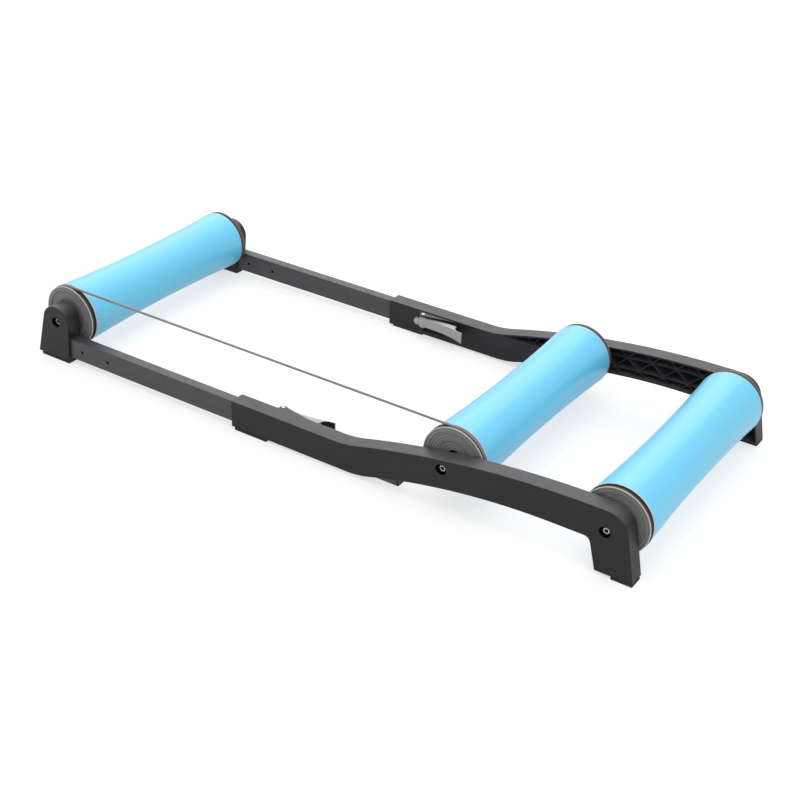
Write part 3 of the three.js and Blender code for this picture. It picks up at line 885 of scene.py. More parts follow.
@dataclass(frozen=True)
class CapMoulding(Finish):
    """Grey plastic cap: a face with rings, painted shade in ring bottoms and over the groove, and
    painted highlights as light lines at the rim corner and the flange.
    """

    # Painted shade: the dark band over the belt groove and rim, everywhere but the face, flange
    # and rim corner.
    groove: Colour = (0.035, 0.033, 0.031)
    # Painted highlight: the light line on the rim's corner.
    polished: Colour = (0.80, 0.79, 0.77)
    # Painted highlight: the light line on the flange next to the drum.
    flange: Colour = (0.74, 0.74, 0.73)
    # Painted shade in the bottoms of the moulded rings.
    ring_line: Colour = (0.15, 0.148, 0.143)
    roughness: float = 0.5
    ring_pitch: float = 0.0046
    ring_fade: Point = (0.16, 0.07)
    rim_radius: float = 0.0542
    face_start: float = 0.2047
    face_end: float = 0.2088
    flange_end: float = 0.1993
    line_width: float = 0.0006
    turning: float = 1500.0
    turning_depth: float = 0.00003
    corner: float = 0.0004

    def dress(self, bench: Bench) -> bpy.types.Material:
        """Makes the material.

        Args:
            bench: Its bench.

        Returns:
            The material.
        """
        soft, corner = bench.edges(self.corner)
        radius = bench.length(bench.parts["X"], bench.parts["Z"])
        along = bench.math("ABSOLUTE", bench.parts["Y"])
        fine = bench.lines(radius, self.turning)
        light = self.tinted(1.3)
        grained = bench.mixed(bench.span(fine, 0.35, 0.65), self.tinted(0.74), self.colour)
        blotches = bench.span(bench.noise(40.0, 4.0), 0.35, 0.7, 0.0, 0.35)
        face = bench.mixed(blotches, grained, light)
        # Painted shade in the ring bottoms.
        face = bench.mixed(self.ring_lines(bench, radius), face, self.ring_line)
        outer, width = self.rim_radius - self.line_width, self.line_width
        on_face = bench.math(
            "MULTIPLY",
            bench.span(radius, outer + width, outer),
            bench.span(along, self.face_start - width, self.face_start),
        )
        on_corner = bench.math(
            "MULTIPLY",
            bench.span(radius, outer - width / 2, outer),
            bench.span(along, self.face_end - width * 1.4, self.face_end - width),
        )
        on_flange = bench.math(
            "MULTIPLY",
            bench.span(radius, outer, outer + width / 2),
            bench.span(along, self.flange_end, self.flange_end - width / 3),
        )
        # Painted shade off the face, then painted highlights on the flange and the rim corner.
        colour = bench.mixed(on_face, self.groove, face)
        colour = bench.mixed(on_flange, colour, self.flange)
        colour = bench.mixed(on_corner, colour, self.polished)
        return bench.feed(
            base_color=bench.mixed(bench.wear(corner, scale=420.0, share=0.35), colour, light),
            roughness=bench.varied(fine, self.roughness, less=0.07, more=0.07),
            normal=bench.bumped(fine, self.turning_depth, soft),
        )

    def ring_lines(self, bench: Bench, radius: Socket) -> Socket:
        """Finds the bottoms of the moulded rings, where shade is painted.

        Args:
            bench: The material's bench.
            radius: The distance from the cap's axis.

        Returns:
            A value that is near 1 in a ring, and 0 between rings.
        """
        turns = bench.math("DIVIDE", radius, self.ring_pitch)
        apart = bench.apart(turns, bench.math("ROUND", turns))
        return bench.span(apart, *self.ring_fade, 0.0, 0.85)


@dataclass(frozen=True)
class PlatedSteel(Finish):
    """Plated steel: fine turning marks, cloudy plating, painted highlights on its corners and a
    painted highlight ring about a screw's socket.
    """

    dull: Colour = (0.36, 0.36, 0.37)
    # Painted highlight along every corner.
    bright: Colour = (0.86, 0.86, 0.87)
    # Painted highlight: the light ring about a screw's socket.
    bare: Colour = (0.64, 0.64, 0.65)
    roughness: float = 0.28
    bare_radius: float = 0.0
    bare_width: float = 0.0011
    bare_edge: float = 0.0002
    turning: float = 3000.0
    turning_depth: float = 0.000008
    corner: float = 0.0006

    def dress(self, bench: Bench) -> bpy.types.Material:
        """Makes the material.

        Args:
            bench: Its bench.

        Returns:
            The material.
        """
        turning = bench.lines(bench.parts["Y"], self.turning)
        cloud = bench.span(bench.noise(170.0, 4.0), 0.4, 0.7, 0.0, 0.6)
        soft, corner = bench.edges(self.corner)
        plating = bench.mixed(cloud, self.colour, self.dull)
        if self.bare_radius > 0.0:
            # Painted highlight ring about the socket.
            plating = bench.mixed(self.rubbed_ring(bench), plating, self.bare)
        smooth, matt = self.roughness - 0.06, self.roughness + 0.08
        marked = bench.span(turning, 0.2, 0.8, smooth, matt)
        return bench.feed(
            # Painted highlight along every corner.
            base_color=bench.mixed(corner, plating, self.bright),
            metallic=1.0,
            roughness=bench.math("ADD", marked, bench.math("MULTIPLY", cloud, 0.12)),
            normal=bench.bumped(turning, self.turning_depth, soft),
        )

    def rubbed_ring(self, bench: Bench) -> Socket:
        """Finds the ring about a screw's socket where a highlight is painted.

        Args:
            bench: The material's bench.

        Returns:
            A value that is 1 on the ring, and 0 off it.
        """
        radius = bench.length(bench.parts["X"], bench.parts["Z"])
        half, edge = self.bare_width / 2, self.bare_edge
        return bench.span(bench.apart(radius, self.bare_radius), half + edge, half - edge)


@dataclass(frozen=True)
class PressedMetal(Finish):
    """Pressed sheet with a satin coat: brushed lengthwise, bright at corners, and painted shade
    that makes the inside near black.
    """

    bright: Colour = (0.82, 0.82, 0.82)
    # Painted shade: the near-black colour of the channel's inside, which faces the arm.
    inside: Colour = (0.03, 0.03, 0.031)
    roughness: float = 0.42
    brush_depth: float = 0.00002
    corner: float = 0.0006

    def dress(self, bench: Bench) -> bpy.types.Material:
        """Makes the material.

        Args:
            bench: Its bench.

        Returns:
            The material.
        """
        soft, corner = bench.edges(self.corner)
        worn = bench.wear(corner, scale=500.0, share=0.8)
        brushed = bench.noise(70.0, 4.0, stretch=(1.0, 22.0, 22.0))
        tone = bench.mixed(bench.span(brushed, 0.35, 0.65), self.tinted(0.86), self.colour)
        # Painted shade on the faces towards the arm.
        tone = bench.mixed(self.towards_arm(bench), tone, self.inside)
        return bench.feed(
            base_color=bench.mixed(worn, tone, self.bright),
            metallic=0.2,
            roughness=bench.varied(brushed, self.roughness, less=0.07, more=0.08),
            normal=bench.bumped(brushed, self.brush_depth, soft),
        )

    @staticmethod
    def towards_arm(bench: Bench) -> Socket:
        """Finds the faces that look towards the arm, which are the channel's inside, where shade
        is painted.
        """
        side = bench.math("SIGN", bench.parts["Y"])
        return bench.span(bench.math("MULTIPLY", side, bench.facing("Y")), 0.3, 0.5)


@dataclass(frozen=True)
class RoundCord(Finish):
    """Smooth extruded cord: slight grime, fine draw lines and a soft shine."""

    grime: Colour = (0.16, 0.15, 0.14)
    roughness: float = 0.38
    draw_depth: float = 0.00003

    def dress(self, bench: Bench) -> bpy.types.Material:
        """Makes the material.

        Args:
            bench: Its bench.

        Returns:
            The material.
        """
        drawn = bench.noise(150.0, 3.0, stretch=(0.5, 14.0, 14.0))
        darkened = bench.span(bench.noise(26.0, 5.0), 0.5, 0.75, 0.0, 0.55)
        return bench.feed(
            base_color=bench.mixed(darkened, self.colour, self.grime),
            roughness=bench.varied(drawn, self.roughness, less=0.06, more=0.1),
            subsurface_weight=0.05,
            subsurface_scale=0.001,
            normal=bench.bumped(drawn, self.draw_depth),
        )


@dataclass(frozen=True)
class Rubber(Finish):
    """Black rubber: fine pores, dusty patches and greyed corners."""

    # A grey dusting on the rubber's patches and corners.
    dust: Colour = (0.075, 0.072, 0.068)
    roughness: float = 0.78
    pores: float = 1900.0
    pore_depth: float = 0.00006
    corner: float = 0.0006

    def dress(self, bench: Bench) -> bpy.types.Material:
        """Makes the material.

        Args:
            bench: Its bench.

        Returns:
            The material.
        """
        soft, corner = bench.edges(self.corner)
        paler = bench.span(bench.noise(90.0, 5.0), 0.5, 0.8, 0.0, 0.7)
        worn = bench.math("MAXIMUM", paler, bench.wear(corner, scale=600.0, share=0.6))
        return bench.feed(
            base_color=bench.mixed(worn, self.colour, self.dust),
            roughness=bench.varied(bench.noise(300.0, 3.0), self.roughness, less=0.08, more=0.08),
            normal=bench.bumped(bench.noise(self.pores), self.pore_depth, soft),
        )


@dataclass(frozen=True)
class Finishes:
    """The finishes of this object."""

    arm: Moulding = Moulding("arm_moulding", "arm_plastic", (0.0195, 0.0185, 0.0215))
    plug: Moulding = Moulding("plug_moulding", "arm_plastic", (0.018, 0.018, 0.020), grain=2100.0)
    rail: Paint = Paint("powder_paint", "rail_paint", (0.053, 0.050, 0.055))
    drum: Gloss = Gloss("drum_gloss", "drum_plastic", (0.165, 0.66, 0.95))
    cap: CapMoulding = CapMoulding("cap_moulding", "cap_plastic", (0.262, 0.261, 0.257))
    lever: PressedMetal = PressedMetal("lever_coat", "lever_finish", (0.42, 0.42, 0.423))
    belt: RoundCord = RoundCord("belt_cord", "belt_rubber", (0.24, 0.238, 0.232))
    rubber: Rubber = Rubber("foot_rubber", "pad_rubber", (0.016, 0.016, 0.017))
    seal: Rubber = Rubber("seal_rubber", "pad_rubber", (0.011, 0.011, 0.012), roughness=0.6)
    steel: PlatedSteel = PlatedSteel("plated_steel", "bright_steel", (0.66, 0.66, 0.68))
    rivet: PlatedSteel = PlatedSteel(
        "phosphated_steel",
        "bright_steel",
        (0.050, 0.050, 0.054),
        dull=(0.028, 0.028, 0.030),
        roughness=0.34,
    )
    # Its finish paints a highlight ring about the socket.
    screw: PlatedSteel = PlatedSteel(
        "phosphated_screw",
        "bright_steel",
        (0.022, 0.022, 0.024),
        dull=(0.012, 0.012, 0.013),
        roughness=0.36,
        bare_radius=0.0041,
    )


FINISHES = Finishes()


# Putting pieces down


def middle_of(node: str) -> Vector:
    """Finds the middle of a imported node's box."""
    low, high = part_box(node)
    return (low + high) / 2


def set_down(
    name: str,
    solid: Solid,
    finish: Finish,
    body: str | None,
    stands_for: str | None = None,
    centre: Vector | None = None,
    sharp: float = 32.0,
) -> bpy.types.Object:
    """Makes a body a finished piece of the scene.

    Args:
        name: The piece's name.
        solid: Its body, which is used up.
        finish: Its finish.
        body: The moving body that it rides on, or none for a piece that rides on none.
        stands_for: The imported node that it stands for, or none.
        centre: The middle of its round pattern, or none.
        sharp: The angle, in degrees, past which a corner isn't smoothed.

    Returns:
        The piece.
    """
    mesh = bpy.data.meshes.new(name)
    solid.bm.to_mesh(mesh)
    solid.bm.free()
    mesh.shade_smooth()
    mesh.set_sharp_from_angle(angle=math.radians(sharp))
    mesh.materials.append(finish.material(centre))
    made = bpy.data.objects.new(name, mesh)
    bpy.context.scene.collection.objects.link(made)
    if body is not None:
        weigh = made.modifiers.new("normals", "WEIGHTED_NORMAL")
        weigh.keep_sharp = True
        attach(made, body)
    if stands_for is not None:
        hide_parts(stands_for)
    log.info("%s: %d faces, %s", name, len(mesh.polygons), finish.name)
    return made


@dataclass(frozen=True)
class Pair:
    """A piece that is shaped for the right side and put down on both.

    The body's name may hold {side}, for one that each side has. A piece that doesn't stand for
    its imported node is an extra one.
    """

    part: str
    form: str
    solid: Solid
    finish: Finish
    body: str
    centre: Vector | None = None
    extra: bool = False

    def set_down(self, side: Side) -> None:
        """Puts the piece down on one side."""
        node = f"{self.part}_{side.label}"
        set_down(
            f"{node}{self.form}",
            self.solid.on(side),
            self.finish,
            self.body.format(side=side.label),
            None if self.extra else node,
            self.centre,
        )


def set_down_pairs(*pairs: Pair) -> None:
    """Puts pieces down on the left side, and then on the right one."""
    for side in Side:
        for pair in pairs:
            pair.set_down(side)


# The object's sub-assemblies


@dataclass(frozen=True)
class Plan:
    """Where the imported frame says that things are."""

    axle_x: dict[Axle, float]
    axle_z: float
    lever_pin: Vector
    rail_low: Vector
    rail_high: Vector
    outer_y: float
    base_z: float

    @classmethod
    def from_frame(cls) -> "Plan":
        """Reads the places from the frame's joints and boxes.

        Returns:
            The plan.
        """
        hinges = (joint for joint in frame["joints"] if "pos_m" in joint)
        pins = {joint["name"]: Vector(joint["pos_m"]) for joint in hinges}
        arm_low, arm_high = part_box("side_arm_right")
        rail_low, rail_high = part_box("rail_right")
        return cls(
            axle_x={axle: pins[f"{axle.value}_spin"].x for axle in Axle},
            axle_z=pins["front_spin"].z,
            lever_pin=pins["lever_right_swing"],
            rail_low=rail_low,
            rail_high=rail_high,
            outer_y=arm_high.y,
            base_z=arm_low.z,
        )

    def axis(self, axle: Axle) -> Vector:
        """The middle of an axle."""
        return Vector((self.axle_x[axle], 0.0, self.axle_z))


@dataclass(frozen=True)
class ShellSizes:
    """Sizes that the arms and the front brackets share."""

    depth: float = 0.029
    panel: float = 0.0045
    flange: float = 0.003
    outer_round: float = 0.0017
    inner_round: float = 0.0006
    boss_radius: float = 0.013
    nose_radius: float = 0.008
    nose_reach: float = 0.0147
    recess_radius: float = 0.0092
    recess_depth: float = 0.014
    recess_chamfer: float = 0.0006
    screw_hole: float = 0.0043
    overrun: float = 0.004


class Shell:
    """A deep moulding that is open on its inner side, as the arms and the brackets are."""

    def __init__(self, plan: Plan, sizes: ShellSizes) -> None:
        """Works out where the shell's faces are.

        Args:
            plan: Where things are.
            sizes: The sizes that all the shells share.
        """
        self.plan = plan
        self.sizes = sizes
        self.outer = plan.outer_y
        self.inner = plan.outer_y - sizes.depth
        self.cavity = plan.outer_y - sizes.panel

    def blank(self, pen: Pen) -> Solid:
        """Makes the full block of an outline, with its edges rounded.

        Args:
            pen: The outline, seen from the side.

        Returns:
            The block.
        """
        block = Solid.prism(pen, Plane.SIDE, self.inner, self.outer)
        block.rounded(self.is_outer_corner, self.sizes.outer_round, 4)
        return block.rounded(lambda edge: lies_at(edge, 1, self.inner), self.sizes.inner_round, 2)

    def is_outer_corner(self, edge: Edge) -> bool:
        """Tells whether an edge is round the outer face, or a corner that runs inwards."""
        return lies_at(edge, 1, self.outer) or (runs_along(edge, 1) and is_sharp(edge))

    def hollow(self, pen: Pen) -> Solid:
        """Makes the space inside the flange of an outline."""
        return Solid.prism(
            pen,
            Plane.SIDE,
            self.inner - self.sizes.overrun,
            self.cavity,
            inset=self.sizes.flange,
        )

    def seat(self, x: float) -> tuple[list[Solid], list[Solid]]:
        """Makes the seat of an axle screw.

        Args:
            x: Where the axle is.

        Returns:
            What is added to the shell, and what is cut from it.
        """
        sizes = self.sizes
        z = self.plan.axle_z
        mid_panel = self.cavity + sizes.panel / 2
        floor = self.outer - sizes.recess_depth
        mouth = sizes.recess_radius + sizes.recess_chamfer
        recess = Pen(0.0, floor).line(sizes.recess_radius, floor)
        recess.line(sizes.recess_radius, self.outer - sizes.recess_chamfer)
        recess.line(mouth, self.outer).line(mouth, self.outer + sizes.overrun)
        recess.line(0.0, self.outer + sizes.overrun).close()
        nose_end = self.inner - sizes.nose_reach
        added = [
            Solid.crossbar(sizes.boss_radius, (x, z), self.inner, mid_panel),
            Solid.crossbar(sizes.nose_radius, (x, z), nose_end, self.cavity),
        ]
        hole_start = nose_end - sizes.overrun
        hole = Solid.crossbar(sizes.screw_hole, (x, z), hole_start, self.outer, sides=32)
        return added, [Solid.turned(recess, (x, 0.0, z)), hole]


@dataclass(frozen=True)
class ArmSizes:
    """Sizes of a side arm's outline, about the floor under the middle axle."""

    sleeve_reach: float = 0.404
    sleeve_height: float = 0.048
    corner_radius: float = 0.037
    crest_radius: float = 1.590
    crest_lead: float = 0.020
    band: float = 0.0545
    belly_radius: float = 1.150
    belly_lead: float = 0.080
    bend_blend: float = 0.022
    leg_rear_reach: float = 0.051
    leg_front_lead: float = 0.010
    leg_top_lead: float = 0.023
    leg_fillet: float = 0.009
    tunnel_lead: float = 0.025
    tunnel_roof: float = 0.004
    slide_gap: float = 0.0004


@dataclass(frozen=True)
class LatticeSizes:
    """Sizes of the ribs inside an arm."""

    thickness: float = 0.0018
    recess: float = 0.006
    pitch: float = 0.045
    run: float = 0.054
    count: int = 10
    start_lead: float = 0.165
    cross_share: float = 0.33
    high_share: float = 0.67
    low_share: float = 0.25
    knot_radius: float = 0.0031
    knot_rise: float = 0.0012


@dataclass(frozen=True)
class EarSizes:
    """Sizes of the ears that hold a clamp lever's pin."""

    thickness: float = 0.003
    radius: float = 0.0065
    front_reach: float = 0.019
    rear_reach: float = 0.068
    upper_base: float = 0.0473
    lower_base: float = 0.014
    bevel: float = 0.0004
    pin_hole: float = 0.0025
    window: Point = (0.0093, 0.0088)


@dataclass
class SideArms(Shell):
    """The two side arms: sleeve for the rail, bend, arch over the drums, and rear foot."""

    plan: Plan
    shell: ShellSizes = field(default_factory=ShellSizes)
    arm: ArmSizes = field(default_factory=ArmSizes)
    lattice: LatticeSizes = field(default_factory=LatticeSizes)
    ears: EarSizes = field(default_factory=EarSizes)

    def __post_init__(self) -> None:
        """Works out the heights that the outline follows."""
        super().__init__(self.plan, self.shell)
        self.middle = self.plan.axle_x[Axle.MIDDLE]
        self.rear = self.plan.axle_x[Axle.REAR] - self.middle
        self.base = self.plan.base_z
        self.top = self.base + self.arm.sleeve_height
        self.crest_z = self.plan.axle_z + self.arm.corner_radius
        self.belly_z = self.crest_z - self.arm.band
        self.crest_centre = (self.rear - self.arm.crest_lead, self.crest_z - self.arm.crest_radius)
        self.belly_centre = (self.rear - self.arm.belly_lead, self.belly_z - self.arm.belly_radius)

    def outline(self) -> Pen:
        """Draws the arm as seen from the side, about the middle axle.

        Returns:
            The closed outline.
        """
        arm = self.arm
        crest_x, crest_centre = self.crest_centre
        belly_x, belly_centre = self.belly_centre
        bend_top = crest_x - math.sqrt(arm.crest_radius**2 - (self.top - crest_centre) ** 2)
        bend_low = belly_x - math.sqrt(arm.belly_radius**2 - (self.base - belly_centre) ** 2)
        crest_start = rise_angle(crest_x - bend_top - arm.bend_blend, arm.crest_radius)
        belly_end = rise_angle(belly_x - bend_low - arm.bend_blend, arm.belly_radius)
        crest_from = Vector((crest_x, crest_centre)) + polar(crest_start, arm.crest_radius)
        touch = touch_angle(arm.leg_rear_reach, self.base - self.plan.axle_z, arm.corner_radius, 1)
        leg_top = self.rear - arm.leg_top_lead
        slope = (arm.leg_top_lead - arm.leg_front_lead) / (self.belly_z - self.base)

        pen = Pen(-arm.sleeve_reach, self.base).line(-arm.sleeve_reach, self.top)
        pen.line(bend_top - arm.bend_blend, self.top).sweep((bend_top, self.top), crest_from, 12)
        pen.arc(crest_x, crest_centre, 90 - crest_start, 28)
        pen.line(self.rear, self.crest_z).arc(self.rear, self.plan.axle_z, touch - 90, 30)
        pen.line(self.rear + arm.leg_rear_reach, self.base)
        pen.line(self.rear - arm.leg_front_lead, self.base)
        pen.line(leg_top + slope * arm.leg_fillet, self.belly_z - arm.leg_fillet)
        pen.sweep((leg_top, self.belly_z), (leg_top - arm.leg_fillet, self.belly_z), 8)
        pen.line(belly_x, self.belly_z).arc(belly_x, belly_centre, belly_end - 90, 26)
        pen.sweep((bend_low, self.base), (bend_low - arm.bend_blend, self.base), 12)
        return pen.close()

    def band_point(self, x: float, share: float) -> Vector:
        """Finds a point inside the arch.

        Args:
            x: Its place along the arm.
            share: How far up it is, from 0 at the belly to 1 at the crest.

        Returns:
            The point, as a place along the arm and a height.
        """
        crest = arc_height(self.crest_centre, self.arm.crest_radius, x)
        belly = arc_height(self.belly_centre, self.arm.belly_radius, x)
        return Vector((x, belly + (crest - belly) * share))

    def rib(self, start: Vector, end: Vector) -> Solid:
        """Makes a thin rib between two points of the side view.

        Args:
            start: One of the points.
            end: The other one.

        Returns:
            The rib.
        """
        across = (end - start).orthogonal().normalized() * self.lattice.thickness / 2
        pen = Pen(*(start + across))
        pen.lines(tuple(point) for point in (start - across, end - across, end + across))
        near = self.inner + self.lattice.recess
        return Solid.prism(pen.close(), Plane.SIDE, near, self.cavity + self.shell.panel / 2)

    def ribs(self) -> Solid:
        """Makes the lattice: two ribs along the arch, and two slanting families that cross.

        Returns:
            The lattice, as far as it lies inside the arm.
        """
        sizes, point = self.lattice, self.band_point
        low_cross = 1 - sizes.cross_share - sizes.pitch / sizes.run / 2
        near = self.inner + sizes.recess - sizes.knot_rise
        far = self.cavity + self.shell.panel / 2
        made = []
        for step in range(sizes.count):
            x = step * sizes.pitch - sizes.start_lead
            for share in (sizes.low_share, sizes.high_share):
                made.append(self.rib(point(x, share), point(x + sizes.pitch, share)))
            made.append(self.rib(point(x, 1.0), point(x + sizes.run, 0.0)))
            mirrored = x + 2 * sizes.cross_share * sizes.run
            made.append(self.rib(point(mirrored, 1.0), point(mirrored - sizes.run, 0.0)))
            for share in (1 - sizes.cross_share, low_cross):
                knot = point(x + sizes.run * (1 - share), share)
                made.append(Solid.crossbar(sizes.knot_radius, knot, near, far, sides=14))
        room = Solid.prism(
            self.outline(),
            Plane.SIDE,
            self.inner + sizes.recess / 2,
            far,
            inset=self.shell.flange / 2,
        )
        return Solid.gathered(made).keep(room)

    def ear(self, base: float) -> Solid:
        """Makes one ear for the lever's pin, about the middle axle.

        Args:
            base: Its underside's height.

        Returns:
            The ear.
        """
        sizes = self.ears
        x, y = self.plan.lever_pin.x - self.middle, self.plan.lever_pin.y
        root = self.inner + self.shell.overrun / 2
        pen = Pen(x - sizes.front_reach, self.inner)
        pen.sweep((x - sizes.radius, self.inner), (x - sizes.radius, y), 12)
        pen.arc(x, y, 135, 14).line(x + sizes.rear_reach, self.inner)
        pen.line(x + sizes.rear_reach, root).line(x - sizes.front_reach, root).close()
        made = Solid.prism(pen, Plane.TOP, base, base + sizes.thickness)
        return made.rounded(self.is_ear_rim, sizes.bevel, 2)

    @staticmethod
    def is_ear_rim(edge: Edge) -> bool:
        """Tells whether an edge is round an ear's upper or lower face."""
        return is_sharp(edge) and not runs_along(edge, 2)

    def shape(self) -> Solid:
        """Makes the right arm.

        Returns:
            The arm.
        """
        arm, pin = self.arm, self.plan.lever_pin
        rail_low, rail_high = self.plan.rail_low, self.plan.rail_high
        gap, over = arm.slide_gap, self.shell.overrun
        roof = rail_high.z + gap + arm.tunnel_roof
        tunnel = Solid.box(
            (-arm.sleeve_reach - over, self.inner - 2 * over, self.base - over),
            (-arm.tunnel_lead, self.outer + over, roof),
        )
        channel = Solid.box(
            (-arm.sleeve_reach - over, rail_low.y - gap, rail_low.z - gap),
            (self.rear, self.cavity, rail_high.z + gap),
        )
        x = pin.x - self.middle
        window_x, window_z = self.ears.window
        window = Solid.box(
            (x - window_x, self.inner - over, pin.z - window_z),
            (x + window_x, rail_low.y + gap, pin.z + window_z),
        )
        pin_hole = Solid.bar(self.ears.pin_hole, (x, pin.y, 0.0), (x, pin.y, self.top + over), 24)
        added, cuts = [], [channel, window, pin_hole]
        for place in (0.0, self.rear):
            more, less = self.seat(place)
            added += more
            cuts += less
        ears = [self.ear(self.ears.upper_base), self.ear(self.ears.lower_base)]
        shell = self.blank(self.outline()).cut(self.hollow(self.outline()).cut(tunnel))
        return shell.join(self.ribs()).join(*added, *ears).cut(*cuts).moved(self.middle)

    def build(self) -> None:
        """Makes both arms."""
        set_down_pairs(Pair("side_arm", "_shell", self.shape(), FINISHES.arm, "frame"))


@dataclass(frozen=True)
class TackSizes:
    """Sizes of the small cross-head screw that keeps a rail in its bracket."""

    head: float = 0.0023
    bevel: float = 0.0004
    crown_share: float = 0.72
    slot_share: float = 0.78
    slot_half: float = 0.0004
    slot_depth: float = 0.0013


@dataclass
class FrontBrackets(Shell):
    """The two front brackets, which hold the rails' ends and the front axle."""

    plan: Plan
    shell: ShellSizes = field(default_factory=ShellSizes)
    screw: TackSizes = field(default_factory=TackSizes)
    top_radius: float = 0.030
    front_reach: float = 0.050
    rear_reach: float = 0.024
    socket_wall: float = 0.0035
    fit_gap: float = 0.0003
    tack_ahead: float = 0.008
    tack_hole: float = 0.0023

    def __post_init__(self) -> None:
        """Finds the front axle."""
        super().__init__(self.plan, self.shell)
        self.x = self.plan.axle_x[Axle.FRONT]
        self.base = self.plan.base_z

    def outline(self) -> Pen:
        """Draws the bracket as seen from the side.

        Returns:
            The closed outline.
        """
        drop = self.base - self.plan.axle_z
        rear = touch_angle(self.rear_reach, drop, self.top_radius, 1)
        front = touch_angle(-self.front_reach, drop, self.top_radius, -1) + 360
        touch = polar(rear, self.top_radius)
        pen = Pen(self.x - self.front_reach, self.base).line(self.x + self.rear_reach, self.base)
        pen.line(self.x + touch.x, self.plan.axle_z + touch.y)
        return pen.arc(self.x, self.plan.axle_z, front - rear, 40).close()

    def shape(self) -> Solid:
        """Makes the right bracket.

        Returns:
            The bracket.
        """
        low, high = self.plan.rail_low, self.plan.rail_high
        gap, over = self.fit_gap, self.shell.overrun
        socket = Solid.box(
            (low.x - self.socket_wall, self.inner - 2 * over, self.base - over),
            (self.x + self.top_radius + over, self.outer + over, high.z + self.socket_wall),
        )
        rail_space = Solid.box(
            (low.x - gap, low.y - gap, low.z - gap),
            (self.x + self.top_radius + over, high.y + gap, high.z + gap),
        )
        centre = (self.x + self.tack_ahead, (low.z + high.z) / 2)
        tack = Solid.crossbar(self.tack_hole, centre, self.inner - over, low.y, sides=24)
        added, cuts = self.seat(self.x)
        shell = self.blank(self.outline()).cut(self.hollow(self.outline()).cut(socket))
        return shell.join(*added).cut(rail_space, tack, *cuts)

    def tack_screw(self) -> Solid:
        """Makes the right bracket's small cross-head screw.

        Returns:
            The screw.
        """
        sizes = self.screw
        low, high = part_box("bracket_screw_right")
        centre = (low + high) / 2
        radius, under, edge = (high.z - low.z) / 2, low.y + sizes.head, sizes.bevel
        crown, shank = radius * sizes.crown_share, radius / 2
        pen = Pen(0.0, low.y).line(crown, low.y).line(radius - edge / 2, under - edge)
        pen.line(radius, under).line(shank, under).line(shank, high.y - edge)
        pen.line(shank - edge, high.y).line(0.0, high.y).close()
        slot, deep = crown * sizes.slot_share, low.y + sizes.slot_depth
        blades = [
            Solid.box(
                (centre.x - along, low.y - edge, centre.z - up),
                (centre.x + along, deep, centre.z + up),
            )
            for along, up in ((slot, sizes.slot_half), (sizes.slot_half, slot))
        ]
        return Solid.turned(pen, (centre.x, 0.0, centre.z), 40).cut(*blades)

    def build(self) -> None:
        """Makes both brackets and their screws."""
        body, bracket, screw = "front_carriage", self.shape(), self.tack_screw()
        set_down_pairs(
            Pair("front_bracket", "_shell", bracket, FINISHES.arm, body),
            Pair("bracket_screw", "_cross_head", screw, FINISHES.steel, body),
        )


@dataclass
class Rails:
    """The two telescoping rails, with their plugs."""

    plan: Plan
    wall: float = 0.0015
    corner: float = 0.0022
    hole_radius: float = 0.0031
    hole_first: float = 0.054
    hole_pitch: float = 0.060
    tack_ahead: float = 0.008
    tack_radius: float = 0.0023
    plug_gap: float = 0.0003
    plug_flange: float = 0.003
    plug_round: float = 0.0011
    stem_corner: float = 0.001

    def tube(self) -> Solid:
        """Makes the right rail.

        Returns:
            The rail's tube.
        """
        low, high = self.plan.rail_low, self.plan.rail_high
        front = self.plan.axle_x[Axle.FRONT]
        wall, over = self.wall, self.wall * 2
        outline = self.section(low, high, 0.0, self.corner)
        bore = self.section(low, high, wall, self.corner - wall / 2)
        near, far, z = low.y - over, high.y + over, (low.z + high.z) / 2
        cuts = [Solid.prism(bore, Plane.END, low.x - over, high.x + over)]
        for place in (self.hole_first, self.hole_first + self.hole_pitch):
            cuts.append(Solid.crossbar(self.hole_radius, (front + place, z), near, far, sides=28))
        tack = (front + self.tack_ahead, z)
        cuts.append(Solid.crossbar(self.tack_radius, tack, near, low.y + over, sides=24))
        return Solid.prism(outline, Plane.END, low.x, high.x).cut(*cuts)

    @staticmethod
    def section(low: Vector, high: Vector, inset: float, radius: float) -> Pen:
        """Draws the end face of a box with round corners, an inset inside its edges."""
        start = (low.y + inset, low.z + inset)
        return rounded_rectangle(start, (high.y - inset, high.z - inset), radius)

    def plug(self) -> Solid:
        """Makes the right rail's end plug: a rounded flange with a stem in the tube.

        Returns:
            The plug.
        """
        low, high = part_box("rail_plug_right")
        face = high.x - self.plug_flange
        head = Solid.prism(self.section(low, high, 0.0, self.corner), Plane.END, face, high.x)
        head.rounded(lambda edge: lies_at(edge, 0, high.x), self.plug_round, 3)
        inner = self.section(low, high, self.wall + self.plug_gap, self.stem_corner)
        return head.join(Solid.prism(inner, Plane.END, low.x, face + self.plug_flange / 2))

    def build(self) -> None:
        """Makes both rails and their plugs."""
        set_down_pairs(
            Pair("rail", "_tube", self.tube(), FINISHES.rail, "front_carriage"),
            Pair("rail_plug", "_moulding", self.plug(), FINISHES.plug, "front_carriage"),
        )


@dataclass(frozen=True)
class CapSizes:
    """Sizes of a drum's end cap, across its axis, and the fine rings on its face."""

    wall: float = 0.003
    flange: float = 0.0015
    floor_radius: float = 0.051
    floor_width: float = 0.0032
    mouth_width: float = 0.0054
    rim_radius: float = 0.0542
    rim_round: float = 0.0008
    step: float = 0.0017
    outer_step: float = 0.046
    inner_step: float = 0.030
    hub_radius: float = 0.0172
    bore_radius: float = 0.0142
    ring_pitch: float = 0.0046
    ring_depth: float = 0.0005
    ring_share: float = 0.25


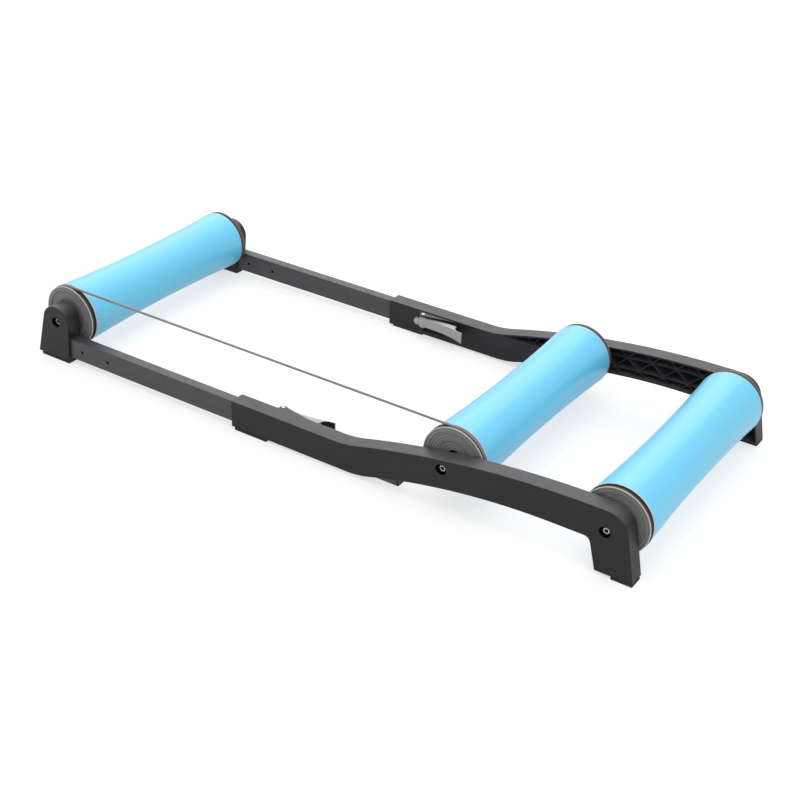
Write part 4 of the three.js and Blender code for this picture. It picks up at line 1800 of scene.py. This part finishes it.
@dataclass
class Rollers:
    """The three drums with their end caps, bearings, axles and axle screws."""

    plan: Plan
    cap: CapSizes = field(default_factory=CapSizes)
    waist_radius: float = 0.050
    wall: float = 0.0035
    fit_gap: float = 0.0003
    drum_steps: int = 36
    race_radius: float = 0.009
    bearing_radius: float = 0.014
    seal_radius: float = 0.0124
    seat_radius: float = 0.006
    body_radius: float = 0.008
    tap_radius: float = 0.0043
    tap_depth: float = 0.024
    hex_radius: float = 0.0035
    hex_depth: float = 0.004
    head_height: float = 0.008
    shank_radius: float = 0.004
    bevel: float = 0.0004
    race_gap: float = 0.0002
    seal_gap: float = 0.00002

    def __post_init__(self) -> None:
        """Reads the lengths from the frame."""
        low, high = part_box("front_drum")
        self.half_length = high.y
        self.end_radius = (high.z - low.z) / 2
        self.race_low, self.race_high = (corner.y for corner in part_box("front_inner_race_right"))
        self.axle_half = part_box("front_axle")[1].y

    def running_radius(self, along: float) -> float:
        """The drum's outer radius at a place along it."""
        swell = self.end_radius - self.waist_radius
        return self.waist_radius + swell * (along / self.half_length) ** 2

    def drum(self, centre: Vector) -> Solid:
        """Makes one drum tube, narrower in the middle than at its ends.

        Args:
            centre: The middle of its axle.

        Returns:
            The tube.
        """
        lip = self.bevel
        inner_end = self.half_length - lip
        places = [(2 * i / self.drum_steps - 1) * inner_end for i in range(self.drum_steps + 1)]
        outside = [(self.running_radius(y), y) for y in places]
        inside = [(radius - self.wall, y) for radius, y in reversed(outside)]
        ends = [
            (self.end_radius - lip, self.half_length),
            (self.end_radius - self.wall + lip, self.half_length),
            (self.end_radius - self.wall + lip, -self.half_length),
            (self.end_radius - lip, -self.half_length),
        ]
        pen = Pen(*outside[0]).lines(outside[1:] + ends[:2] + inside + ends[2:])
        return Solid.turned(pen.close(), centre, 128)

    def grooved(self, outer: float, inner: float, level: float) -> list[Point]:
        """Draws a flat face with fine round grooves in it, from outside in.

        Args:
            outer: The radius at which the face starts.
            inner: The radius at which it ends.
            level: The face's place along the axis.

        Returns:
            The profile's points.
        """
        cap = self.cap
        points = [(outer, level)]
        width = cap.ring_pitch * cap.ring_share
        for turn in range(math.floor((outer - width) / cap.ring_pitch), 0, -1):
            middle = turn * cap.ring_pitch
            if middle - width < inner:
                break
            points += [
                (middle + width / 2, level),
                (middle + width / 5, level - cap.ring_depth),
                (middle - width / 5, level - cap.ring_depth),
                (middle - width / 2, level),
            ]
        return points + [(inner, level)]

    def end_cap(self, centre: Vector) -> Solid:
        """Makes the right end cap of a drum: spigot, belt groove, stepped face and bearing seat.

        Args:
            centre: The middle of its axle.

        Returns:
            The cap.
        """
        cap, soft = self.cap, self.bevel
        spigot_end, face = (corner.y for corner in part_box("front_end_cap_right"))
        seat = self.half_length + self.fit_gap
        spigot = self.running_radius(spigot_end) - self.wall - self.fit_gap
        groove = seat + cap.flange + cap.mouth_width / 2
        half_floor = cap.floor_width / 2
        rim_foot = groove + cap.mouth_width / 2
        middle_face = face - cap.step
        hub_face = face - cap.step * 2
        hub_end = self.race_low
        floor, floor_start, floor_end = cap.floor_radius, groove - half_floor, groove + half_floor
        pen = Pen(spigot - cap.wall, spigot_end).line(spigot - soft, spigot_end)
        pen.line(spigot, spigot_end + soft).line(spigot, seat).line(self.end_radius, seat)
        pen.line(self.end_radius, seat + cap.flange - soft)
        pen.line(self.end_radius - soft, seat + cap.flange)
        pen.line(floor + soft, floor_start - soft / 2)
        pen.sweep((floor, floor_start), (floor, floor_start + soft), 3)
        pen.line(floor, floor_end - soft)
        pen.sweep((floor, floor_end), (floor + soft, floor_end + soft / 2), 3)
        pen.line(cap.rim_radius - soft, rim_foot).line(cap.rim_radius, rim_foot + soft)
        pen.line(cap.rim_radius, face - cap.rim_round)
        pen.arc(cap.rim_radius - cap.rim_round, face - cap.rim_round, 90, 5)
        pen.line(cap.outer_step + soft, face)
        pen.lines(self.grooved(cap.outer_step - cap.step / 2, cap.inner_step + soft, middle_face))
        pen.lines(self.grooved(cap.inner_step - cap.step / 2, cap.hub_radius + soft, hub_face))
        pen.line(cap.bore_radius + soft, hub_face).line(cap.bore_radius, hub_face - soft)
        pen.line(cap.bore_radius, hub_end).line(cap.hub_radius, hub_end)
        pen.line(cap.hub_radius, hub_face - cap.wall)
        pen.line(spigot - cap.wall, middle_face - cap.wall)
        return Solid.turned(pen.close(), centre, 112)

    def ring(self, centre: Vector, inner: float, outer: float, inset: float = 0.0) -> Solid:
        """Makes a bevelled ring as wide as a bearing, on the right side.

        Args:
            centre: The middle of its axle.
            inner: Its inner radius.
            outer: Its outer radius.
            inset: How far its faces lie inside the bearing's.

        Returns:
            The ring.
        """
        low, high, soft = self.race_low + inset, self.race_high - inset, self.bevel
        pen = Pen(inner + soft, low).line(outer - soft, low).line(outer, low + soft)
        pen.line(outer, high - soft).line(outer - soft, high).line(inner + soft, high)
        pen.line(inner, high - soft).line(inner, low + soft)
        return Solid.turned(pen.close(), centre, 56)

    def axle(self, centre: Vector) -> Solid:
        """Makes an axle, thicker between its bearings and tapped at both ends.

        Args:
            centre: Its middle.

        Returns:
            The axle.
        """
        soft, end = self.bevel, self.axle_half
        shoulder = self.race_low - self.fit_gap
        bore = end - self.tap_depth
        half = [
            (0.0, bore),
            (self.tap_radius, bore),
            (self.tap_radius, end),
            (self.seat_radius - soft, end),
            (self.seat_radius, end - soft),
            (self.seat_radius, shoulder),
            (self.body_radius - soft, shoulder),
            (self.body_radius, shoulder - soft),
        ]
        pen = Pen(0.0, -bore).lines((radius, -along) for radius, along in half[1:])
        return Solid.turned(pen.lines(reversed(half)).close(), centre, 48)

    def screw(self, centre: Vector) -> Solid:
        """Makes the right axle screw, with a hexagon socket in its head.

        Args:
            centre: The middle of its axle.

        Returns:
            The screw.
        """
        low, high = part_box("front_axle_screw_right")
        radius, soft = (high.z - low.z) / 2, self.bevel
        under, shank = high.y - self.head_height, self.shank_radius
        pen = Pen(0.0, low.y).line(shank - soft, low.y).line(shank, low.y + soft)
        pen.line(shank, under).line(radius - soft, under).line(radius, under + soft)
        pen.line(radius, high.y - 2 * soft).arc(radius - 2 * soft, high.y - 2 * soft, 90, 4)
        pen.line(0.0, high.y).close()
        floor = high.y - self.hex_depth
        key = Solid.crossbar(self.hex_radius, (centre.x, centre.z), floor, high.y + soft, sides=6)
        flare = Pen(0.0, high.y - soft).line(self.hex_radius - soft, high.y - soft)
        flare.line(self.hex_radius + soft, high.y + soft).line(0.0, high.y + soft).close()
        return Solid.turned(pen, centre, 56).cut(key, Solid.turned(flare, centre, 40))

    def build(self) -> None:
        """Makes all three rollers and what carries them."""
        for axle in Axle:
            word, centre = axle.value, self.plan.axis(axle)
            roller, carrier = f"{word}_roller", axle.carrier
            drum, shaft = self.drum(centre), self.axle(centre)
            node = f"{word}_drum"
            set_down(f"{node}_tube", drum, FINISHES.drum, roller, node, sharp=40.0)
            set_down(f"{word}_axle_shaft", shaft, FINISHES.steel, carrier, f"{word}_axle")
            cap, screw = self.end_cap(centre), self.screw(centre)
            seal_start, seal_end = self.race_radius + self.bevel, self.seal_radius - self.seal_gap
            inner = self.ring(centre, self.seat_radius + self.race_gap, self.race_radius)
            outer = self.ring(centre, self.seal_radius, self.bearing_radius)
            seal = self.ring(centre, seal_start, seal_end, inset=self.bevel)
            set_down_pairs(
                Pair(f"{word}_end_cap", "_moulding", cap, FINISHES.cap, roller, centre),
                Pair(f"{word}_inner_race", "_ring", inner, FINISHES.steel, carrier),
                Pair(f"{word}_outer_race", "_ring", outer, FINISHES.steel, roller),
                Pair(f"{word}_axle_screw", "_socket_head", screw, FINISHES.screw, carrier, centre),
                Pair(f"{word}_bearing_seal", "", seal, FINISHES.seal, roller, extra=True),
            )


@dataclass(frozen=True)
class LeverSizes:
    """Sizes of a clamp lever, about its pin."""

    base: float = 0.0255
    height: float = 0.021
    length: float = 0.092
    plate: float = 0.0026
    wall: float = 0.002
    face: float = 0.0073
    back: float = 0.0012
    straight: float = 0.026
    flare: float = 0.010
    notch: float = 0.021
    nose: float = 0.016
    nose_bulge: float = 0.0065
    neck_depth: float = 0.0032
    neck_width: float = 0.005
    neck_rise: float = 0.0034
    neck_drop: float = 0.0018
    tip_sweep: float = 0.012
    hub_radius: float = 0.006
    cam_radius: float = 0.0066
    cam_offset: float = 0.0015
    pin_hole: float = 0.0025
    corner: float = 0.0011


@dataclass
class Clamps:
    """The two clamps: lever with its cam, pin and shoe."""

    plan: Plan
    lever: LeverSizes = field(default_factory=LeverSizes)
    pin_radius: float = 0.0022
    head_radius: float = 0.003
    head_height: float = 0.001
    clearance: float = 0.0003
    bevel: float = 0.0004
    crown_height: float = 0.0006
    crown_inset: float = 0.0002
    crown_sink: float = 0.0001
    crown_ease: float = 0.0003
    crown_wall_share: float = 0.2
    crown_flat_share: float = 0.4
    shoe_round: float = 0.0006

    def edges(self, pen: Pen, neck: float, wall: float) -> Pen:
        """Draws the side view behind the neck: upper edge, tip and lower edge.

        Args:
            pen: The pen, at the neck's upper end.
            neck: The neck's end along the lever.
            wall: How far the edges are drawn in.

        Returns:
            The pen.
        """
        sizes = self.lever
        low, high = sizes.base + wall, sizes.base + sizes.height - wall
        past_tip = sizes.length + sizes.corner * 4
        pen.line((sizes.straight + sizes.length) / 2, high).line(past_tip, high)
        pen.line(past_tip, low).line(sizes.length, low)
        neck_low = low + sizes.neck_rise
        return pen.sweep((sizes.length - sizes.tip_sweep, neck_low), (neck, neck_low), 24)

    def blade(self) -> Solid:
        """Makes the lever's outside, from its plan and its side view.

        Returns:
            The blade, about the lever's pin.
        """
        sizes = self.lever
        face, top = -sizes.face, sizes.base + sizes.height
        plate = face + sizes.plate
        bend = (sizes.straight + sizes.length) / 2
        over = sizes.corner * 4
        plan = Pen(-sizes.nose, face).line(sizes.straight, face)
        plan.sweep((bend, face), (sizes.length, face - sizes.flare), 18)
        plan.line(sizes.length, plate - sizes.flare)
        plan.sweep(
            (sizes.length - sizes.notch, plate - sizes.flare),
            (sizes.length - sizes.notch, sizes.back),
            12,
        )
        plan.line(0.0, sizes.back).line(0.0, plate).line(sizes.plate - sizes.nose, plate).close()
        neck_start = sizes.nose_bulge - sizes.nose
        neck_mid, neck_end = neck_start + sizes.neck_width / 2, neck_start + sizes.neck_width
        neck_low, neck_high = sizes.base + sizes.neck_rise, top - sizes.neck_drop
        low_notch, high_notch = neck_low + sizes.neck_depth, neck_high - sizes.neck_depth
        ease = sizes.neck_width / 5
        nose_tip = (-sizes.nose - sizes.nose_bulge, (neck_low + neck_high) / 2)
        side = Pen(neck_start, neck_low).sweep(nose_tip, (neck_start, neck_high), 16)
        side.sweep((neck_mid - ease, high_notch), (neck_mid, high_notch), 4)
        side.sweep((neck_mid + ease, high_notch), (neck_end, neck_high), 4)
        self.edges(side, neck_end, 0.0)
        side.sweep((neck_mid + ease, low_notch), (neck_mid, low_notch), 4)
        side.sweep((neck_mid - ease, low_notch), (neck_start, neck_low), 4)
        slab = Solid.prism(side.close(), Plane.SIDE, face - sizes.flare - over, sizes.back + over)
        made = Solid.prism(plan, Plane.TOP, sizes.base, top).keep(slab)
        return made.rounded(self.is_face_corner, sizes.corner, 3)

    @staticmethod
    def is_face_corner(edge: Edge) -> bool:
        """Tells whether an edge is where the lever's face turns into its walls.

        Args:
            edge: The edge.

        Returns:
            Whether it is.
        """
        if not is_sharp(edge, 50.0):
            return False
        facing = [face.normal.y < -0.5 for face in edge.link_faces]
        level = [abs(face.normal.z) > 0.9 for face in edge.link_faces]
        return any(facing) and any(level)

    def shape(self) -> Solid:
        """Makes the right lever: a channel open towards the arm, with a hub and a cam.

        Returns:
            The lever.
        """
        sizes, pin = self.lever, self.plan.lever_pin
        face, top = -sizes.face, sizes.base + sizes.height
        plate = face + sizes.plate
        bend = (sizes.straight + sizes.length) / 2
        start, open_side = sizes.cam_radius + sizes.plate, sizes.back + sizes.wall * 2
        hollow = Pen(start, plate).line(sizes.straight, plate)
        hollow.sweep((bend, plate), (sizes.length, plate - sizes.flare), 18)
        hollow.line(sizes.length, open_side).line(start, open_side).close()
        inside = Pen(start, top - sizes.wall - sizes.neck_drop)
        self.edges(inside, start, sizes.wall).close()
        slab = Solid.prism(inside, Plane.SIDE, face - sizes.flare, open_side + sizes.wall)
        pocket = Solid.prism(hollow, Plane.TOP, sizes.base, top).keep(slab)
        shoe_low, shoe_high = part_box("clamp_shoe_right")
        cam = Solid.bar(
            sizes.cam_radius,
            (0.0, sizes.cam_offset, shoe_low.z + self.clearance),
            (0.0, sizes.cam_offset, shoe_high.z - self.clearance),
            40,
        )
        hub = Solid.bar(sizes.hub_radius, (0.0, 0.0, sizes.base), (0.0, 0.0, top), 40)
        hole = Solid.bar(sizes.pin_hole, (0.0, 0.0, 0.0), (0.0, 0.0, top + sizes.wall), 32)
        return self.blade().cut(pocket).join(hub, cam).cut(hole).moved(pin.x, pin.y)

    def pin(self) -> Solid:
        """Makes the right lever's pin, with its head, collar and foot.

        Returns:
            The pin.
        """
        low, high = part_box("clamp_pin_right")
        head_top = high.z - self.crown_height
        radius, head, thick = self.pin_radius, self.head_radius, self.head_height
        collar_top = self.lever.base - self.clearance
        collar_low = collar_top - thick
        foot_top = low.z + thick
        neck = high.z - thick
        pen = Pen(0.0, low.z).line(head - self.bevel, low.z).line(head, low.z + self.bevel)
        pen.line(head, foot_top).line(radius, foot_top)
        pen.line(radius, collar_low).line(head, collar_low).line(head, collar_top)
        pen.line(radius, collar_top).line(radius, neck).line(head, neck).line(head, head_top)
        pen.line(0.0, head_top).close()
        return Solid.turned(pen, self.foot(), 40, upright=True)

    def crown(self) -> Solid:
        """Makes the polished dome on the right pin's head.

        Returns:
            The dome.
        """
        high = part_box("clamp_pin_right")[1].z
        low, edge = high - self.crown_height, self.head_radius - self.crown_inset
        root, wall_top = low - self.crown_sink, low + self.crown_height * self.crown_wall_share
        pen = Pen(0.0, root).line(edge, root).line(edge, wall_top)
        pen.sweep((edge - self.crown_ease, high), (edge * self.crown_flat_share, high), 6)
        pen.line(0.0, high).close()
        return Solid.turned(pen, self.foot(), 40, upright=True)

    def foot(self) -> Place:
        """The floor under the right pin."""
        return (self.plan.lever_pin.x, self.plan.lever_pin.y, 0.0)

    def shoe(self) -> Solid:
        """Makes the right shoe, a small rubber block."""
        return Solid.box(*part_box("clamp_shoe_right")).rounded(is_sharp, self.shoe_round, 2)

    def build(self) -> None:
        """Makes both clamps."""
        set_down_pairs(
            Pair("clamp_lever", "_pressing", self.shape(), FINISHES.lever, "lever_{side}"),
            Pair("clamp_pin", "_rivet", self.pin(), FINISHES.rivet, "frame"),
            Pair("clamp_shoe", "_block", self.shoe(), FINISHES.rubber, "shoe_{side}"),
            Pair("clamp_pin", "_crown", self.crown(), FINISHES.steel, "frame", extra=True),
        )


@dataclass
class Pads:
    """The six rubber pads under the machine."""

    round_edge: float = 0.0009
    pocket_pitch: float = 0.0085
    pocket_rib: float = 0.0011
    pocket_depth: float = 0.0012
    pocket_inset: float = 0.003

    def shape(self, node: str) -> Solid:
        """Makes a pad with shallow pockets in its sole.

        Args:
            node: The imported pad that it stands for.

        Returns:
            The pad.
        """
        low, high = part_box(node)
        made = Solid.box(low, high)
        made.rounded(lambda edge: runs_along(edge, 2), self.round_edge * 2, 4)
        made.rounded(lambda edge: lies_at(edge, 2, low.z), self.round_edge / 2, 2)
        inset = self.pocket_inset
        room = high.x - low.x - 2 * inset
        count = max(2, round(room / self.pocket_pitch))
        pitch = room / count
        pockets = []
        for step in range(count):
            x = low.x + inset + step * pitch
            corner = (x + self.pocket_rib, low.y + inset, low.z - self.pocket_depth)
            end = (x + pitch - self.pocket_rib, high.y - inset, low.z + self.pocket_depth)
            pockets.append(Solid.box(corner, end))
        return made.cut(*pockets)

    def build(self) -> None:
        """Makes all the pads."""
        bodies = {"bracket_pad": "front_carriage", "sleeve_pad": "frame", "foot_pad": "frame"}
        for part, body in bodies.items():
            set_down_pairs(Pair(part, "_sole", self.shape(f"{part}_right"), FINISHES.rubber, body))


@dataclass
class DriveBelt:
    """The round belt in the left grooves of the front and middle rollers."""

    plan: Plan
    radius: float = 0.002
    loop_radius: float = 0.05345
    sides: int = 20
    turn_steps: int = 40

    def shape(self) -> Solid:
        """Makes the loop: a ring of points that is swept round both axles and between them.

        Returns:
            The belt.
        """
        low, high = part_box("drive_belt")
        y = (low.y + high.y) / 2
        front, middle = self.plan.axle_x[Axle.FRONT], self.plan.axle_x[Axle.MIDDLE]
        z = self.plan.axle_z
        bm = bmesh.new()
        quarter = Matrix.Rotation(math.pi / 2, 4, "Y")
        start = Matrix.Translation((front, y, z + self.loop_radius)) @ quarter
        bmesh.ops.create_circle(bm, segments=self.sides, radius=self.radius, matrix=start)
        last = self.half_turn(bm, bm.verts[:] + bm.edges[:], front, y, z)
        last = self.straight_run(bm, last, middle - front)
        last = self.half_turn(bm, last, middle, y, z)
        self.straight_run(bm, last, front - middle)
        bmesh.ops.remove_doubles(bm, verts=bm.verts, dist=TINY * 10)
        return Solid(bm).outward()

    def half_turn(self, bm: bmesh.types.BMesh, ring: list, x: float, y: float, z: float) -> list:
        """Sweeps a ring of points half way round an axle.

        Args:
            bm: The belt so far.
            ring: The ring's points and edges.
            x: The axle's place along X.
            y: The belt's place along Y.
            z: The axle's height.

        Returns:
            The new ring's points and edges.
        """
        spun = bmesh.ops.spin(
            bm,
            geom=ring,
            cent=(x, y, z),
            axis=(0.0, -1.0, 0.0),
            angle=math.pi,
            steps=self.turn_steps,
        )
        return spun["geom_last"]

    @staticmethod
    def straight_run(bm: bmesh.types.BMesh, ring: list, length: float) -> list:
        """Draws a ring of points out along X.

        Args:
            bm: The belt so far.
            ring: The ring's points and edges.
            length: How far, towards +X if positive.

        Returns:
            The new ring's points and edges.
        """
        edges = [item for item in ring if isinstance(item, Edge)]
        grown = bmesh.ops.extrude_edge_only(bm, edges=edges)["geom"]
        verts = [item for item in grown if isinstance(item, Vert)]
        bmesh.ops.translate(bm, verts=verts, vec=(length, 0.0, 0.0))
        return verts + [item for item in grown if isinstance(item, Edge)]

    def build(self) -> None:
        """Makes the belt on no moving body; the real belt stretches as the front half slides."""
        loop = self.shape()
        made = set_down("drive_belt_cord", loop, FINISHES.belt, None, "drive_belt", sharp=60.0)
        start, end = self.plan.axis(Axle.MIDDLE), self.plan.axis(Axle.FRONT)
        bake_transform(made)


# Studio


@dataclass(frozen=True)
class Lamp:
    """A soft lamp that faces the middle of the object, with its size and its power in watts."""

    name: str
    place: Place
    size: Point
    power: float

    def hang(self) -> None:
        """Hangs the lamp."""
        data = bpy.data.lights.new(self.name, "AREA")
        data.shape = "RECTANGLE"
        data.size, data.size_y = self.size
        data.energy = self.power
        made = bpy.data.objects.new(self.name, data)
        bpy.context.scene.collection.objects.link(made)
        where = Vector(self.place)
        turn = where.to_track_quat("Z", "Y").to_matrix().to_4x4()
        made.matrix_world = Matrix.Translation(where) @ turn


@dataclass
class Studio:
    """Camera, floor, world and lamps: a wide one behind, weaker ones overhead and in front."""

    eye: Point = (1.1932, -1.7828)
    eye_height: float = 1.2456
    heading: float = -0.5787
    pitch: float = 0.53
    roll: float = 0.0278
    lens: float = 64.9
    sensor: float = 36.0
    floor_size: float = 40.0
    floor_colour: float = 0.50
    floor_roughness: float = 0.9
    floor_glow: float = 0.62
    world_light: float = 0.71
    lamps: tuple[Lamp, ...] = (
        Lamp("behind", (-1.7, 3.5, 3.0), (6.0, 3.4), 108.0),
        Lamp("overhead", (-0.1, -0.2, 2.7), (2.2, 2.0), 12.0),
        Lamp("front", (3.2, -1.5, 2.4), (2.5, 2.5), 29.0),
    )

    def camera(self) -> None:
        """Stands the camera where the photograph was taken from."""
        look = Vector(
            (
                math.sin(self.heading) * math.cos(self.pitch),
                math.cos(self.heading) * math.cos(self.pitch),
                -math.sin(self.pitch),
            )
        )
        level = Vector((math.cos(self.heading), -math.sin(self.heading), 0.0))
        above = level.cross(look)
        right = level * math.cos(self.roll) + above * math.sin(self.roll)
        up = above * math.cos(self.roll) - level * math.sin(self.roll)
        data = bpy.data.cameras.new("camera")
        data.lens = self.lens
        data.sensor_width = self.sensor
        made = bpy.data.objects.new("camera", data)
        bpy.context.scene.collection.objects.link(made)
        turn = Matrix((right, up, -look)).transposed().to_4x4()
        made.matrix_world = Matrix.Translation((*self.eye, self.eye_height)) @ turn
        bpy.context.scene.camera = made

    @staticmethod
    def background_rays(tree: bpy.types.NodeTree) -> Socket:
        """Adds a value that is 1 for rays that show the background and 0 for ones that light.

        Args:
            tree: The nodes that it is added to.

        Returns:
            The value's socket.
        """
        path = tree.nodes.new("ShaderNodeLightPath")
        value = path.outputs["Is Camera Ray"]
        for name in ("Is Glossy Ray", "Is Transmission Ray"):
            either = tree.nodes.new("ShaderNodeMath")
            either.operation = "MAXIMUM"
            tree.links.new(value, either.inputs[0])
            tree.links.new(path.outputs[name], either.inputs[1])
            value = either.outputs[0]
        return value

    def floor(self) -> None:
        """Lays a plain white floor, which keeps the object's shadow."""
        bm = bmesh.new()
        bmesh.ops.create_grid(bm, x_segments=1, y_segments=1, size=self.floor_size / 2)
        mesh = bpy.data.meshes.new("floor")
        bm.to_mesh(mesh)
        bm.free()
        material = bpy.data.materials.new("floor")
        material.use_nodes = True
        tree = material.node_tree
        shader = tree.nodes["Principled BSDF"]
        shader.inputs["Base Color"].default_value = (self.floor_colour,) * 3 + (1.0,)
        shader.inputs["Roughness"].default_value = self.floor_roughness
        shader.inputs["Specular IOR Level"].default_value = 0.0
        shader.inputs["Emission Color"].default_value = (1.0, 1.0, 1.0, 1.0)
        glow = tree.nodes.new("ShaderNodeMath")
        glow.operation = "MULTIPLY"
        glow.inputs[1].default_value = self.floor_glow
        tree.links.new(self.background_rays(tree), glow.inputs[0])
        tree.links.new(glow.outputs[0], shader.inputs["Emission Strength"])
        mesh.materials.append(material)
        made = bpy.data.objects.new("floor", mesh)
        bpy.context.scene.collection.objects.link(made)

    def world(self) -> None:
        """Makes a white world that lights the object softly."""
        world = bpy.data.worlds.new("world")
        bpy.context.scene.world = world
        world.use_nodes = True
        tree = world.node_tree
        background = tree.nodes["Background"]
        background.inputs["Color"].default_value = (1.0, 1.0, 1.0, 1.0)
        strength = tree.nodes.new("ShaderNodeMapRange")
        strength.inputs["To Min"].default_value = self.world_light
        strength.inputs["To Max"].default_value = 1.0
        tree.links.new(self.background_rays(tree), strength.inputs["Value"])
        tree.links.new(strength.outputs["Result"], background.inputs["Strength"])

    def build(self) -> None:
        """Sets up the studio."""
        bpy.context.scene.view_settings.view_transform = "Standard"
        self.camera()
        self.floor()
        self.world()
        for lamp in self.lamps:
            lamp.hang()


def main() -> None:
    """Builds the studio and every sub-assembly in order."""
    logging.basicConfig(level=logging.INFO, format="%(message)s")
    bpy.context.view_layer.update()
    plan = Plan.from_frame()
    parts = (
        Studio(),
        SideArms(plan),
        FrontBrackets(plan),
        Rails(plan),
        Rollers(plan),
        Clamps(plan),
        Pads(),
        DriveBelt(plan),
    )
    for part in parts:
        log.info("%s", type(part).__name__)
        part.build()


if __name__ == "__main__":
    main()
